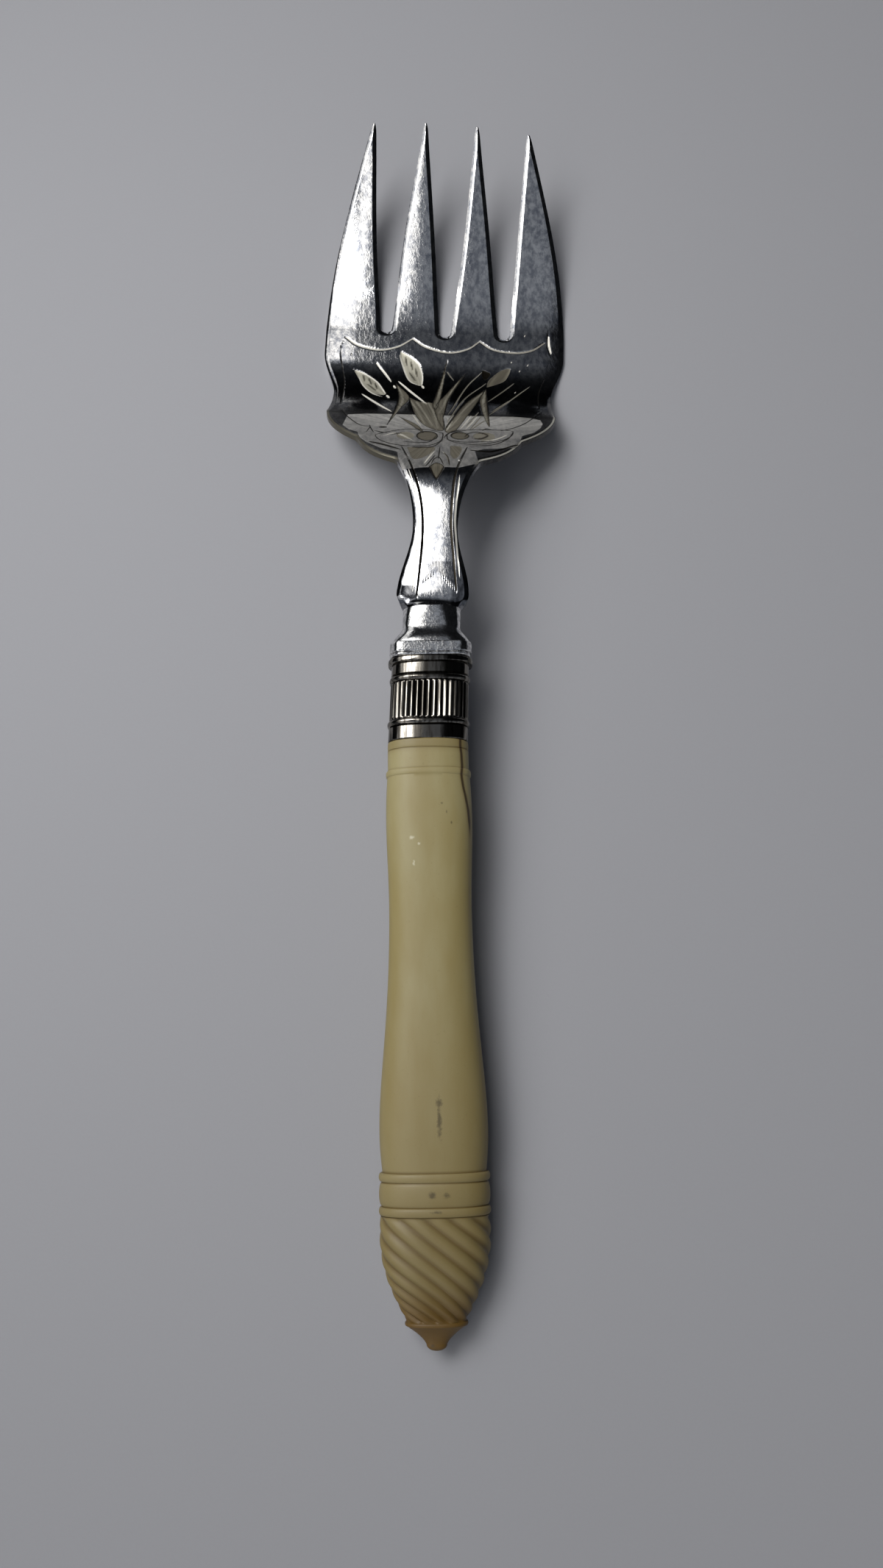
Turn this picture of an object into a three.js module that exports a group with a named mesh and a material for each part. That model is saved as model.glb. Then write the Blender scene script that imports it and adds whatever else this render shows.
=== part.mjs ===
// Four-tined serving fork: a dished and slotted blade with its neck, a cast
// bolster, a cap and a fluted ferrule, and a carved handle whose pommel is
// fluted in a spiral. A tang bedded in resin joins blade and handle.
// Millimetres. +Y runs from the finial to the tines, +X to the right, +Z up.
// The fork lies on its pommel and on a small flat under its bowl.

import * as THREE from 'three';

// Handle, by lengths along it from the tip of the finial
const finialLength = 4.4;
const finialTipHalfWidth = 1.9;
const finialTipLength = 1.2;
const collarLength = 0.8;
const collarHalfWidth = 5.8;
const collarGroove = 0.35;
const spiralLength = 18.4;
const pommelEndHalfWidth = 10.1;
const beadLength = 1.7;
const beadHeight = 0.6;
const beadHalfWidth = 10.4;
const bandLength = 4.3;
const bandHalfWidth = 10.35;
const gripLength = 74.2;
const gripRearHalfWidth = 9.7;
const gripSwellHalfWidth = 10.2;
const gripWaistHalfWidth = 8.0;
const gripFrontHalfWidth = 8.45;
const gripEndHalfWidth = 8.15;
const ringLength = 1.3;
const ringHeight = 0.25;
const throatLength = 4.0;
const throatHalfWidth = 8.0;
const lipLength = 1.8;
const lipHalfWidth = 8.0;
const lipEdge = 0.3;

// Spiral flutes of the pommel
const fluteDepth = 0.5;
const spiralStarts = 11;
const ringPointsPerFlute = 4;

// Bore for the tang, and the clearances of everything inside the handle
const boreHalfWidth = 3.4;
const boreHalfDepth = 2.6;
const boreEndSpace = 4;
const seatGap = 0.3;
const wallGap = 0.3;

// Ferrule
const ferruleLength = 15.6;
const ferruleHalfWidth = 7.95;
const ferruleTopHalfWidth = 7.75;
const ferruleWallThickness = 0.7;
const ferruleLowerPlainLength = 2.6;
const ferruleUpperPlainLength = 2.2;
const ferruleBeadLength = 1.3;
const ferruleBeadHeight = 0.3;
const ferruleGrooveLength = 0.3;
const ferruleGrooveDepth = 0.3;
const reedDepth = 0.3;
const reedCount = 36;

// Cap between ferrule and bolster
const capThickness = 1.1;
const capHalfWidth = 8.5;
const capEdge = 0.3;

// Bolster
const plinthBaseLength = 0.6;
const plinthLength = 2.2;
const plinthHalfWidth = 8.2;
const plinthFaceHalfWidth = 6.6;
const plinthHalfDepth = 5.0;
const plinthStep = 0.25;
const coveLength = 3.9;
const waistHalfWidth = 5.9;
const waistHalfDepth = 3.7;
const barrelLength = 3.7;
const barrelCrown = 0.3;

// Tang
const tangHalfWidth = 2.2;
const tangHalfDepth = 1.5;
const tangTipHalfWidth = 1.2;
const tangTipHalfDepth = 0.9;
const tangLength = 60;

// Head, by distances along it from the bolster
const headLength = 114.0;
const neckFootHalfWidth = 5.8;
const neckShoulderHalfWidth = 7.3;
const neckShoulderStation = 3.0;
const neckWaistHalfWidth = 4.55;
const neckWaistStation = 17.0;
const heelHalfWidth = 8.8;
const heelStation = 32.4;
const notchHalfWidth = 17.6;
const notchStation = 39.6;
const earHalfWidth = 25.1;
const earStation = 49.3;
const hollowHalfWidth = 24.2;
const hollowStation = 55.6;
const bladeHalfWidth = 27.15;
const bladeWidestStation = 67.3;

// Tines and the slots between them
const slotRootStation = 71.6;
const slotRootWidth = 2.7;
const outerSlotCentre = 13.45;
const tipSpacing = 11.5;
const tineTipWidth = 0.8;
const tipTaperLength = 1.6;
const outerTineBelly = 2.5;
const innerTineReach = 0.7;

// How far the tines' sides bulge into each slot, from its left and its right;
// the fork was filed by hand, so they differ
const slotBellies = [[-0.5, 0.9], [0.25, -0.3], [0.4, 0]];

// Thickness of the head and the bevel along its edges
const plateThickness = 1.4;
const tipThickness = 1.2;
const neckFootThickness = 4.0;
const neckSeatHeight = 2.1;
const edgeBevelWidth = 0.9;
const edgeBevelDrop = 0.4;
const tineCrown = 0.5;

// Angles by which ferrule, cap and bolster lean to the right of the handle, and
// the head with its neck, seen from above
const bolsterLean = THREE.MathUtils.degToRad(2.6);
const headLean = THREE.MathUtils.degToRad(3.05);

// Sections: depth as a share of width, and how square the corners are
const handleFlatShare = 0.56;
const sectionPowers = { handle: 2.4, ferrule: 2.7, waist: 3.4, barrel: 2.2, bore: 2 };

// Sideways run of the spiral flutes for each length along the handle
const spiralRunShare = 1.35;

// Rounding of the finial's tip: shares of its length and of its half-width
const finialTipShares = [[0, 0.25], [0.15, 0.6], [0.45, 0.87], [1, 1]];

// Lengths of the grip's four sweeps, as shares of its length
const gripShares = { rear: 0.1, narrowing: 0.56, front: 0.23, end: 0.11 };

// Slopes at which a sweep of the outline leaves and arrives, and the shares
// of its length over which it holds them
const levelShares = [0, 0];
const thirdShares = [1 / 3, 1 / 3];
const finialSlopeShares = [0.5, 1.6];
const pommelSlopeShares = [0.56, -0.12];
const pommelHoldShares = [0.29, 0.45];
const gripRearSlopeShares = [0.12, 0];
const gripNarrowingHoldShares = [0.25, 0.5];
const gripEndSlopeShares = [0, -0.08];

// The head's outline, sweep by sweep
const headSweeps = [
  {
    end: neckShoulderStation,
    halfWidth: neckShoulderHalfWidth,
    steps: 2,
    slopeShares: [0.6, 0],
  },
  { end: neckWaistStation, halfWidth: neckWaistHalfWidth, steps: 3 },
  { end: heelStation, halfWidth: heelHalfWidth, steps: 4, slopeShares: [0, 0.55] },
  {
    end: notchStation,
    halfWidth: notchHalfWidth,
    steps: 4,
    slopeShares: [3.2, 0.5],
    holdShares: [0.25, 0.4],
  },
  { end: earStation, halfWidth: earHalfWidth, steps: 4, slopeShares: [1.6, 0.1] },
  { end: hollowStation, halfWidth: hollowHalfWidth, steps: 2, slopeShares: [-0.35, 0] },
  { end: bladeWidestStation, halfWidth: bladeHalfWidth, steps: 3 },
];

// Slope of the line of the tips, the share of its width that a tip ends with,
// and the widest bevel as a share of a tine
const tipSlantShare = 0.035;
const tipEndShare = 0.35;
const tipStationShares = [0.5, 1];
const bevelShare = 0.35;
const outerBellyShiftShare = 0.9;
const tineBellyPower = 1.5;

// Rounding of the neck's underside, as a share of its thickness
const neckRoundShare = 0.4;

// Side profile of the blade, as slopes. One table runs over the length from the
// bolster to the slot roots, and ends on the flat that the fork rests on, and
// the other up the tines.
const dipShares = [
  [0, 0.11], [0.27, 0.12], [0.36, 0], [0.45, -0.5], [0.52, -0.63], [0.63, -0.64],
  [0.71, -0.55], [0.79, -0.33], [0.86, -0.1], [0.9, 0], [1, 0],
];
const riseShares = [[0, 0], [0.1, 0.17], [0.27, 0.31], [1, 0.6]];

// Share of the way from plate to neck thickness, against shares of the head's length
const thicknessShares = [[0, 1], [0.1, 0.55], [0.2, 0.25], [0.28, 0.05], [0.32, 0], [1, 0]];

// Stations along the handle that the other pieces meet
const spiralStart = finialLength + collarLength;
const spiralEnd = spiralStart + spiralLength;
const gripStart = spiralEnd + beadLength + bandLength + beadLength;
const handleEnd = gripStart + gripLength + ringLength + throatLength + lipLength;
const ferruleEnd = handleEnd + ferruleLength;
const capEnd = ferruleEnd + capThickness;
const plinthEnd = capEnd + plinthBaseLength + plinthLength;
const bolsterEnd = plinthEnd + coveLength + barrelLength;
const tangTip = capEnd - tangLength;
const boreBottom = tangTip - boreEndSpace;

const turn = Math.PI + Math.PI;
const mix = THREE.MathUtils.lerp;

// Value at x of a table of [x, value] pairs, joined by straight lines
function along(table, x) {
  const last = table.length - 1;
  if (x >= table[last][0]) return table[last][1];
  const next = Math.max(1, table.findIndex((pair) => pair[0] > x));
  const [x0, y0] = table[next - 1];
  const [x1, y1] = table[next];
  return mix(y0, y1, (x - x0) / (x1 - x0));
}

const slotRadius = slotRootWidth / 2;
const slotSpringStation = slotRootStation + slotRadius;

// How far up the tines a station is: 0 at the slot roots and 1 at the tips
const tineShare = (station) => (station - slotSpringStation) / (headLength - slotSpringStation);

// Slope of the blade in side view at a station
function bladeSlope(station) {
  const share = tineShare(station);
  return share > 0 ? along(riseShares, share) : along(dipShares, station / slotSpringStation);
}

// Height of the blade's top face over what the fork lies on, found by adding
// up the slopes of the side profile outward from the resting flat
function bladeHeight(station) {
  const steps = 60;
  let slopes = 0;
  for (let i = 0; i < steps; i += 1) {
    slopes += bladeSlope(mix(slotSpringStation, station, (i + 0.5) / steps));
  }
  return plateThickness + (slopes / steps) * (station - slotSpringStation);
}

// Flattened round section, |x/a|^n + |z/b|^n = 1, walked clockwise from its top
class FlattenedSection extends THREE.Curve {
  constructor(halfWidth, halfDepth, power) {
    super();
    Object.assign(this, { halfWidth, halfDepth, power });
  }

  getPoint(t, target = new THREE.Vector3()) {
    const across = Math.sin(turn * t);
    const up = Math.cos(turn * t);
    const sum = Math.abs(across / this.halfWidth) ** this.power
      + Math.abs(up / this.halfDepth) ** this.power;
    const reach = sum ** (-1 / this.power);
    return target.set(reach * across, 0, reach * up);
  }
}

// An outline seen from above, grown station by station
class Outline {
  constructor(station = 0) {
    this.station = station;
    this.rings = [];
  }

  ring(halfWidth) {
    this.rings.push({ station: this.station, halfWidth });
    return this;
  }

  step(length, halfWidth) {
    this.station += length;
    return this.ring(halfWidth);
  }

  // Half-round moulding that rises from the half-width at its two edges
  bead(length, edgeHalfWidth, height, steps = 3) {
    const start = this.station;
    for (let i = 0; i <= steps; i += 1) {
      const across = (i + i) / steps - 1;
      this.station = start + (length * i) / steps;
      this.ring(edgeHalfWidth + height * Math.sqrt(1 - across * across));
    }
    return this;
  }

  // Smooth sweep to a new half-width
  sweep({ length, halfWidth, steps, slopeShares = levelShares, holdShares = thirdShares }) {
    const start = this.station;
    const from = this.rings.at(-1).halfWidth;
    const leave = length * holdShares[0];
    const arrive = length * holdShares[1];
    const curve = new THREE.CubicBezierCurve(
      new THREE.Vector2(start, from),
      new THREE.Vector2(start + leave, from + leave * slopeShares[0]),
      new THREE.Vector2(start + length - arrive, halfWidth - arrive * slopeShares[1]),
      new THREE.Vector2(start + length, halfWidth),
    );
    curve.getPoints(steps).slice(1).forEach((point) => {
      this.station = point.x;
      this.ring(point.y);
    });
    return this;
  }
}

// Outline of the carved handle, from the finial to the lip under the ferrule
function handleOutline() {
  const outline = new Outline();
  finialTipShares.forEach(([lengthShare, widthShare]) => {
    outline.station = finialTipLength * lengthShare;
    outline.ring(finialTipHalfWidth * widthShare);
  });
  outline.sweep({
    length: finialLength - finialTipLength,
    halfWidth: collarHalfWidth - collarGroove,
    steps: 3,
    slopeShares: finialSlopeShares,
  });
  outline.bead(collarLength, collarHalfWidth - collarGroove, collarGroove, 2);
  outline.sweep({
    length: spiralLength,
    halfWidth: pommelEndHalfWidth,
    steps: 10,
    slopeShares: pommelSlopeShares,
    holdShares: pommelHoldShares,
  });
  const beadEdge = beadHalfWidth - beadHeight;
  outline.bead(beadLength, beadEdge, beadHeight);
  outline.step(bandLength / 2, bandHalfWidth);
  outline.step(bandLength / 2, beadEdge);
  outline.bead(beadLength, beadEdge, beadHeight);
  outline.ring(gripRearHalfWidth);
  outline.sweep({
    length: gripLength * gripShares.rear,
    halfWidth: gripSwellHalfWidth,
    steps: 2,
    slopeShares: gripRearSlopeShares,
  });
  outline.sweep({
    length: gripLength * gripShares.narrowing,
    halfWidth: gripWaistHalfWidth,
    steps: 5,
    holdShares: gripNarrowingHoldShares,
  });
  outline.sweep({
    length: gripLength * gripShares.front,
    halfWidth: gripFrontHalfWidth,
    steps: 3,
  });
  outline.sweep({
    length: gripLength * gripShares.end,
    halfWidth: gripEndHalfWidth,
    steps: 1,
    slopeShares: gripEndSlopeShares,
  });
  outline.bead(ringLength, gripEndHalfWidth, ringHeight, 2);
  outline.ring(throatHalfWidth);
  outline.step(throatLength, throatHalfWidth);
  outline.ring(lipHalfWidth - lipEdge);
  outline.step(lipEdge, lipHalfWidth);
  outline.step(lipLength - lipEdge - lipEdge, lipHalfWidth);
  outline.step(lipEdge, lipHalfWidth - lipEdge);
  return outline.rings;
}

// Slope of the axis: the handle tips down from the bolster until it meets the table
const handleRings = handleOutline();
const axisEndHeight = bladeHeight(0) - neckSeatHeight;
const axisSlope = Math.min(...handleRings.map((ring) => {
  const depth = ring.halfWidth * handleFlatShare;
  return (axisEndHeight - depth) / (bolsterEnd - ring.station);
}));
const axisHeight = (station) => axisEndHeight - axisSlope * (bolsterEnd - station);
const axisAcross = (station) => Math.max(0, station - handleEnd) * Math.tan(bolsterLean);

// Ring of points round the sloping axis at one station
function sectionRing(station, halfWidth, halfDepth, power, count, shape = {}) {
  const curve = new FlattenedSection(halfWidth, halfDepth, power);
  const ring = [];
  for (let i = 0; i < count; i += 1) {
    const point = curve.getPointAt((i / count + (shape.turned || 0)) % 1);
    const inward = shape.depthAt ? shape.depthAt(i) : 0;
    point.multiplyScalar(1 - inward / point.length());
    ring.push(new THREE.Vector3(
      point.x + axisAcross(station),
      station,
      point.z + axisHeight(station),
    ));
  }
  return ring;
}

// Closed skin over a row of rings with equal point counts. A row that ends
// where it began closes on itself; any other row gets a face at each end.
function skin(rings, closesOnItself = false) {
  const count = rings[0].length;
  const vertices = rings.flat();
  const faces = [];
  const quad = (a, b, c, d) => faces.push(a, b, c, a, c, d);
  const rows = closesOnItself ? rings.length : rings.length - 1;
  for (let row = 0; row < rows; row += 1) {
    const here = row * count;
    const there = ((row + 1) % rings.length) * count;
    for (let i = 0; i < count; i += 1) {
      const next = (i + 1) % count;
      quad(here + i, here + next, there + next, there + i);
    }
  }
  if (!closesOnItself) {
    const middle = (ring) => ring
      .reduce((sum, point) => sum.add(point), new THREE.Vector3())
      .divideScalar(count);
    const first = vertices.push(middle(rings[0])) - 1;
    const last = vertices.push(middle(rings[rings.length - 1])) - 1;
    const lastRow = (rings.length - 1) * count;
    for (let i = 0; i < count; i += 1) {
      const next = (i + 1) % count;
      faces.push(first, next, i);
      faces.push(last, lastRow + i, lastRow + next);
    }
  }
  return solid(vertices, faces);
}

function solid(vertices, faces) {
  const geometry = new THREE.BufferGeometry().setFromPoints(vertices);
  geometry.setIndex(faces);
  geometry.computeVertexNormals();
  return geometry;
}

// Share of a full turn by which the flutes have wound round at a station
function spiralTurn(station) {
  const steps = 24;
  const outline = handleRings.map((ring) => [ring.station, ring.halfWidth]);
  const from = Math.min(Math.max(station, spiralStart), spiralEnd);
  let wound = 0;
  for (let i = 0; i < steps; i += 1) {
    const halfWidth = along(outline, mix(from, spiralEnd, (i + 0.5) / steps));
    const girth = Math.PI * halfWidth * (1 + handleFlatShare);
    wound += ((spiralEnd - from) / steps) * (spiralRunShare / girth);
  }
  return wound;
}

// Handle: carved outside, turned down to a spigot inside the ferrule, and bored for the tang
function handleGeometry() {
  const count = spiralStarts * ringPointsPerFlute;
  const power = sectionPowers.handle;
  const isFluted = (station) => station > spiralStart + fluteDepth / 2
    && station < spiralEnd - fluteDepth / 2;
  const scoop = (i) => 1 - Math.abs(Math.cos((Math.PI * i) / ringPointsPerFlute));
  const rings = handleRings.map(({ station, halfWidth }) => sectionRing(
    station,
    halfWidth,
    halfWidth * handleFlatShare,
    power,
    count,
    {
      turned: spiralTurn(station),
      depthAt: (i) => (isFluted(station) ? fluteDepth * scoop(i) : 0),
    },
  ));
  const spigot = ferruleTopHalfWidth - ferruleWallThickness - wallGap;
  const spigotEnd = ferruleEnd - seatGap;
  [handleEnd, spigotEnd].forEach((station) => {
    rings.push(sectionRing(station, spigot, spigot * handleFlatShare, power, count));
  });
  [spigotEnd, handleEnd, boreBottom].forEach((station) => {
    rings.push(sectionRing(station, boreHalfWidth, boreHalfDepth, sectionPowers.bore, count));
  });
  return skin(rings);
}

// Ferrule: a tube that narrows toward the cap, with two beads and reeds between
function ferruleGeometry() {
  const outline = new Outline(handleEnd);
  const bead = () => outline.bead(
    ferruleBeadLength,
    -ferruleGrooveDepth,
    ferruleGrooveDepth + ferruleBeadHeight,
  );
  outline.ring(0);
  outline.step(ferruleLowerPlainLength, 0);
  outline.step(ferruleGrooveLength, -ferruleGrooveDepth);
  bead();
  const reedStart = outline.ring(0).station;
  const reedEnd = ferruleEnd - ferruleUpperPlainLength - ferruleGrooveLength - ferruleBeadLength;
  outline.step(reedDepth, 0);
  outline.step(reedEnd - reedStart - reedDepth - reedDepth, 0);
  outline.step(reedDepth, 0);
  bead();
  outline.step(ferruleGrooveLength, 0);
  outline.step(ferruleUpperPlainLength, 0);

  const count = reedCount + reedCount;
  const isReeded = (station) => station > reedStart + reedDepth / 2
    && station < reedEnd - reedDepth / 2;
  const rings = outline.rings.map(({ station, halfWidth: rise }) => {
    const share = (station - handleEnd) / ferruleLength;
    const halfWidth = mix(ferruleHalfWidth, ferruleTopHalfWidth, share);
    return sectionRing(
      station,
      halfWidth + rise,
      halfWidth * handleFlatShare + rise,
      sectionPowers.ferrule,
      count,
      { depthAt: (i) => (isReeded(station) ? (i % 2) * reedDepth : 0) },
    );
  });
  const bore = ferruleTopHalfWidth - ferruleWallThickness;
  [ferruleEnd, handleEnd].forEach((station) => {
    rings.push(sectionRing(station, bore, bore * handleFlatShare, sectionPowers.handle, count));
  });
  return skin(rings, true);
}

// Cap: a thin plate with an eased rim, pierced for the tang
function capGeometry() {
  const outline = new Outline(ferruleEnd);
  outline.ring(capHalfWidth - capEdge);
  outline.step(capEdge, capHalfWidth);
  outline.step(capThickness - capEdge - capEdge, capHalfWidth);
  outline.step(capEdge, capHalfWidth - capEdge);
  const count = reedCount;
  const rings = outline.rings.map(({ station, halfWidth }) => sectionRing(
    station,
    halfWidth,
    halfWidth * handleFlatShare,
    sectionPowers.ferrule,
    count,
  ));
  [capEnd, ferruleEnd].forEach((station) => {
    rings.push(sectionRing(station, boreHalfWidth, boreHalfDepth, sectionPowers.bore, count));
  });
  return skin(rings, true);
}

// Directions of the bolster's ring points: the corners of its eight-sided
// plinth, with equal steps between them
function bolsterDirections() {
  const chamfer = plinthHalfWidth - plinthFaceHalfWidth;
  const corners = [
    new THREE.Vector2(0, plinthHalfDepth),
    new THREE.Vector2(plinthFaceHalfWidth, plinthHalfDepth),
    new THREE.Vector2(plinthHalfWidth, plinthHalfDepth - chamfer),
    new THREE.Vector2(plinthHalfWidth, 0),
  ];
  const stepsBetween = [4, 2, 3];
  const quarter = [];
  stepsBetween.forEach((steps, side) => {
    for (let i = 0; i < steps; i += 1) {
      const point = corners[side].clone().lerp(corners[side + 1], i / steps);
      quarter.push(Math.atan2(point.x, point.y));
    }
  });
  const lower = quarter.slice(1).reverse().map((angle) => Math.PI - angle);
  const right = [...quarter, Math.PI / 2, ...lower];
  return [...right, Math.PI, ...right.slice(1).reverse().map((angle) => turn - angle)];
}

// Bolster: an eight-sided plinth on a thin base, a cove and a barrel that is
// square-cornered at the cove and rounder at the neck
function bolsterGeometry() {
  const directions = bolsterDirections();
  const eightSided = (halfWidth, halfDepth) => (angle) => {
    const across = Math.abs(Math.sin(angle));
    const up = Math.abs(Math.cos(angle));
    const corner = halfDepth + (halfWidth * plinthFaceHalfWidth) / plinthHalfWidth;
    return 1 / Math.max(across / halfWidth, up / halfDepth, (across + up) / corner);
  };
  const rounded = (halfWidth, halfDepth, power) => {
    const curve = new FlattenedSection(halfWidth, halfDepth, power);
    return (angle) => curve.getPoint(angle / turn).length();
  };
  const ring = (station, reach) => directions.map((angle) => new THREE.Vector3(
    axisAcross(station) + reach(angle) * Math.sin(angle),
    station,
    axisHeight(station) + reach(angle) * Math.cos(angle),
  ));
  const plinth = (station, inset) => ring(
    station,
    eightSided(plinthHalfWidth - inset, plinthHalfDepth - inset),
  );
  const plinthStart = capEnd + plinthBaseLength;
  const rings = [
    plinth(capEnd, plinthStep + plinthStep),
    plinth(capEnd + plinthBaseLength / 2, plinthStep),
    plinth(plinthStart, plinthStep + plinthStep),
    plinth(plinthStart + plinthStep, 0),
    plinth(plinthEnd - plinthStep, 0),
    plinth(plinthEnd, plinthStep),
  ];
  const coveFootHalfWidth = plinthHalfWidth - plinthStep;
  const coveFootHalfDepth = plinthHalfDepth - plinthStep - plinthStep;
  const coveSteps = 4;
  for (let i = 1; i <= coveSteps; i += 1) {
    const share = (1 + Math.cos((Math.PI * i) / coveSteps)) / 2;
    rings.push(ring(
      plinthEnd + (coveLength * i) / coveSteps,
      rounded(
        mix(waistHalfWidth, coveFootHalfWidth, share),
        mix(waistHalfDepth, coveFootHalfDepth, share),
        sectionPowers.waist,
      ),
    ));
  }
  const barrelSteps = 3;
  for (let i = 1; i <= barrelSteps; i += 1) {
    const share = i / barrelSteps;
    rings.push(ring(
      i === barrelSteps ? bolsterEnd : bolsterEnd - barrelLength * (1 - share),
      rounded(
        waistHalfWidth,
        waistHalfDepth + barrelCrown * share,
        mix(sectionPowers.waist, sectionPowers.barrel, share),
      ),
    ));
  }
  return skin(rings);
}

// Four-cornered ring, clockwise from the top left seen from the handle's end
function barRing(station, halfWidth, halfDepth) {
  const corners = [[-1, 1], [1, 1], [1, -1], [-1, -1]];
  return corners.map(([x, z]) => new THREE.Vector3(
    axisAcross(station) + x * halfWidth,
    station,
    axisHeight(station) + z * halfDepth,
  ));
}

// Half-width and half-depth of the tang at a station
function tangSize(station) {
  const share = (capEnd - station) / tangLength;
  return [mix(tangHalfWidth, tangTipHalfWidth, share), mix(tangHalfDepth, tangTipHalfDepth, share)];
}

// Tang: tapers toward its tip and turns with the ferrule where the handle ends
function tangGeometry() {
  const stations = [tangTip, handleEnd, capEnd];
  return skin(stations.map((station) => barRing(station, ...tangSize(station))));
}

// Resin: fills the bore up to the cap and wraps the tang
function resinGeometry() {
  const top = ferruleEnd - seatGap - seatGap;
  const count = 20;
  const outside = [boreBottom + wallGap, handleEnd, top].map((station) => sectionRing(
    station,
    boreHalfWidth - wallGap,
    boreHalfDepth - wallGap,
    sectionPowers.bore,
    count,
  ));
  // The wall of the hollow keeps the tang's own four sides, so its corners
  // are on the ring's points
  const inside = [top, handleEnd, tangTip - seatGap].map((station) => {
    const [halfWidth, halfDepth] = tangSize(Math.max(station, tangTip));
    return squareRing(station, halfWidth + wallGap, halfDepth + wallGap, count);
  });
  return skin([...outside, ...inside]);
}

// Rectangular ring with a given count of points, clockwise from its top middle
function squareRing(station, halfWidth, halfDepth, count) {
  const side = count / 4;
  const corners = [
    new THREE.Vector2(-halfWidth, halfDepth),
    new THREE.Vector2(halfWidth, halfDepth),
    new THREE.Vector2(halfWidth, -halfDepth),
    new THREE.Vector2(-halfWidth, -halfDepth),
  ];
  const ring = [];
  for (let i = 0; i < count; i += 1) {
    const walked = (i + side / 2) / side;
    const from = Math.floor(walked) % 4;
    const point = corners[from].clone().lerp(corners[(from + 1) % 4], walked % 1);
    ring.push(new THREE.Vector3(
      axisAcross(station) + point.x,
      station,
      axisHeight(station) + point.y,
    ));
  }
  return ring;
}

// Rows of the head from its foot to the widest part: the station and the
// half-width of the outline at each
function headRows() {
  const outline = new Outline();
  outline.ring(neckFootHalfWidth);
  headSweeps.forEach(({ end, ...shape }) => {
    outline.sweep({ length: end - outline.station, ...shape });
  });
  return outline.rings;
}

const slotCentres = [-outerSlotCentre, 0, outerSlotCentre];
const tineCount = slotCentres.length + 1;
const tipCentres = [0, 1, 2, 3].map((tine) => (tine - slotCentres.length / 2) * tipSpacing);

// Half-width of the whole head past its widest part
function outerEdge(station) {
  const share = (station - bladeWidestStation) / (headLength - bladeWidestStation);
  const straight = mix(bladeHalfWidth, tipCentres.at(-1) + tineTipWidth / 2, share);
  return straight + outerTineBelly * Math.sin(Math.PI * share ** outerBellyShiftShare);
}

// Left and right edge of one tine at a station above the slot roots
function tineEdges(tine, station) {
  const share = tineShare(station);
  const last = tineCount - 1;
  const swell = Math.max(0, Math.sin(Math.PI * share)) ** tineBellyPower;
  const edge = (side) => {
    if (tine === 0 && side < 0) return -outerEdge(station);
    if (tine === last && side > 0) return outerEdge(station);
    const slot = side < 0 ? tine - 1 : tine;
    const belly = slotBellies[slot][side < 0 ? 1 : 0];
    const root = slotCentres[slot] - side * slotRadius;
    const tip = tipCentres[tine] + (side * tineTipWidth) / 2;
    return mix(root, tip, share) + side * belly * swell;
  };
  const left = edge(-1);
  const right = edge(1);
  const middle = (left + right) / 2;
  const half = ((right - left) / 2) * tipTaper(station);
  return [middle - half, middle + half];
}

// Share of its width that a tine keeps where it runs out to its point
function tipTaper(station) {
  const toTip = headLength - station;
  return toTip >= tipTaperLength ? 1 : mix(tipEndShare, 1, toTip / tipTaperLength);
}

// How far a tine is drawn out at a station, because the line of the tips slants
// and the two inner tines are the longest
function tipReach(tine, station) {
  const isInner = tine > 0 && tine < tineCount - 1;
  return (innerTineReach * isInner - tipCentres[tine] * tipSlantShare) * tineShare(station);
}

// Places of the columns across one tine: its bevels and the face between them
function tineColumns([left, right]) {
  const bevel = Math.min(edgeBevelWidth, (right - left) * bevelShare);
  return [left, left + bevel, (left + right) / 2, right - bevel, right];
}

// Thickness of the head at a station
function headThickness(station) {
  const neck = along(thicknessShares, station / headLength);
  const tip = Math.max(0, tineShare(station));
  return mix(plateThickness, neckFootThickness, neck) + (tipThickness - plateThickness) * tip;
}

// Drop of the outer tines below the middle of the blade
function crownDrop(across, station) {
  const rise = Math.sin(Math.PI * Math.max(0, tineShare(station)));
  return tineCrown * rise * (across / bladeHalfWidth) ** 2;
}

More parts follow.
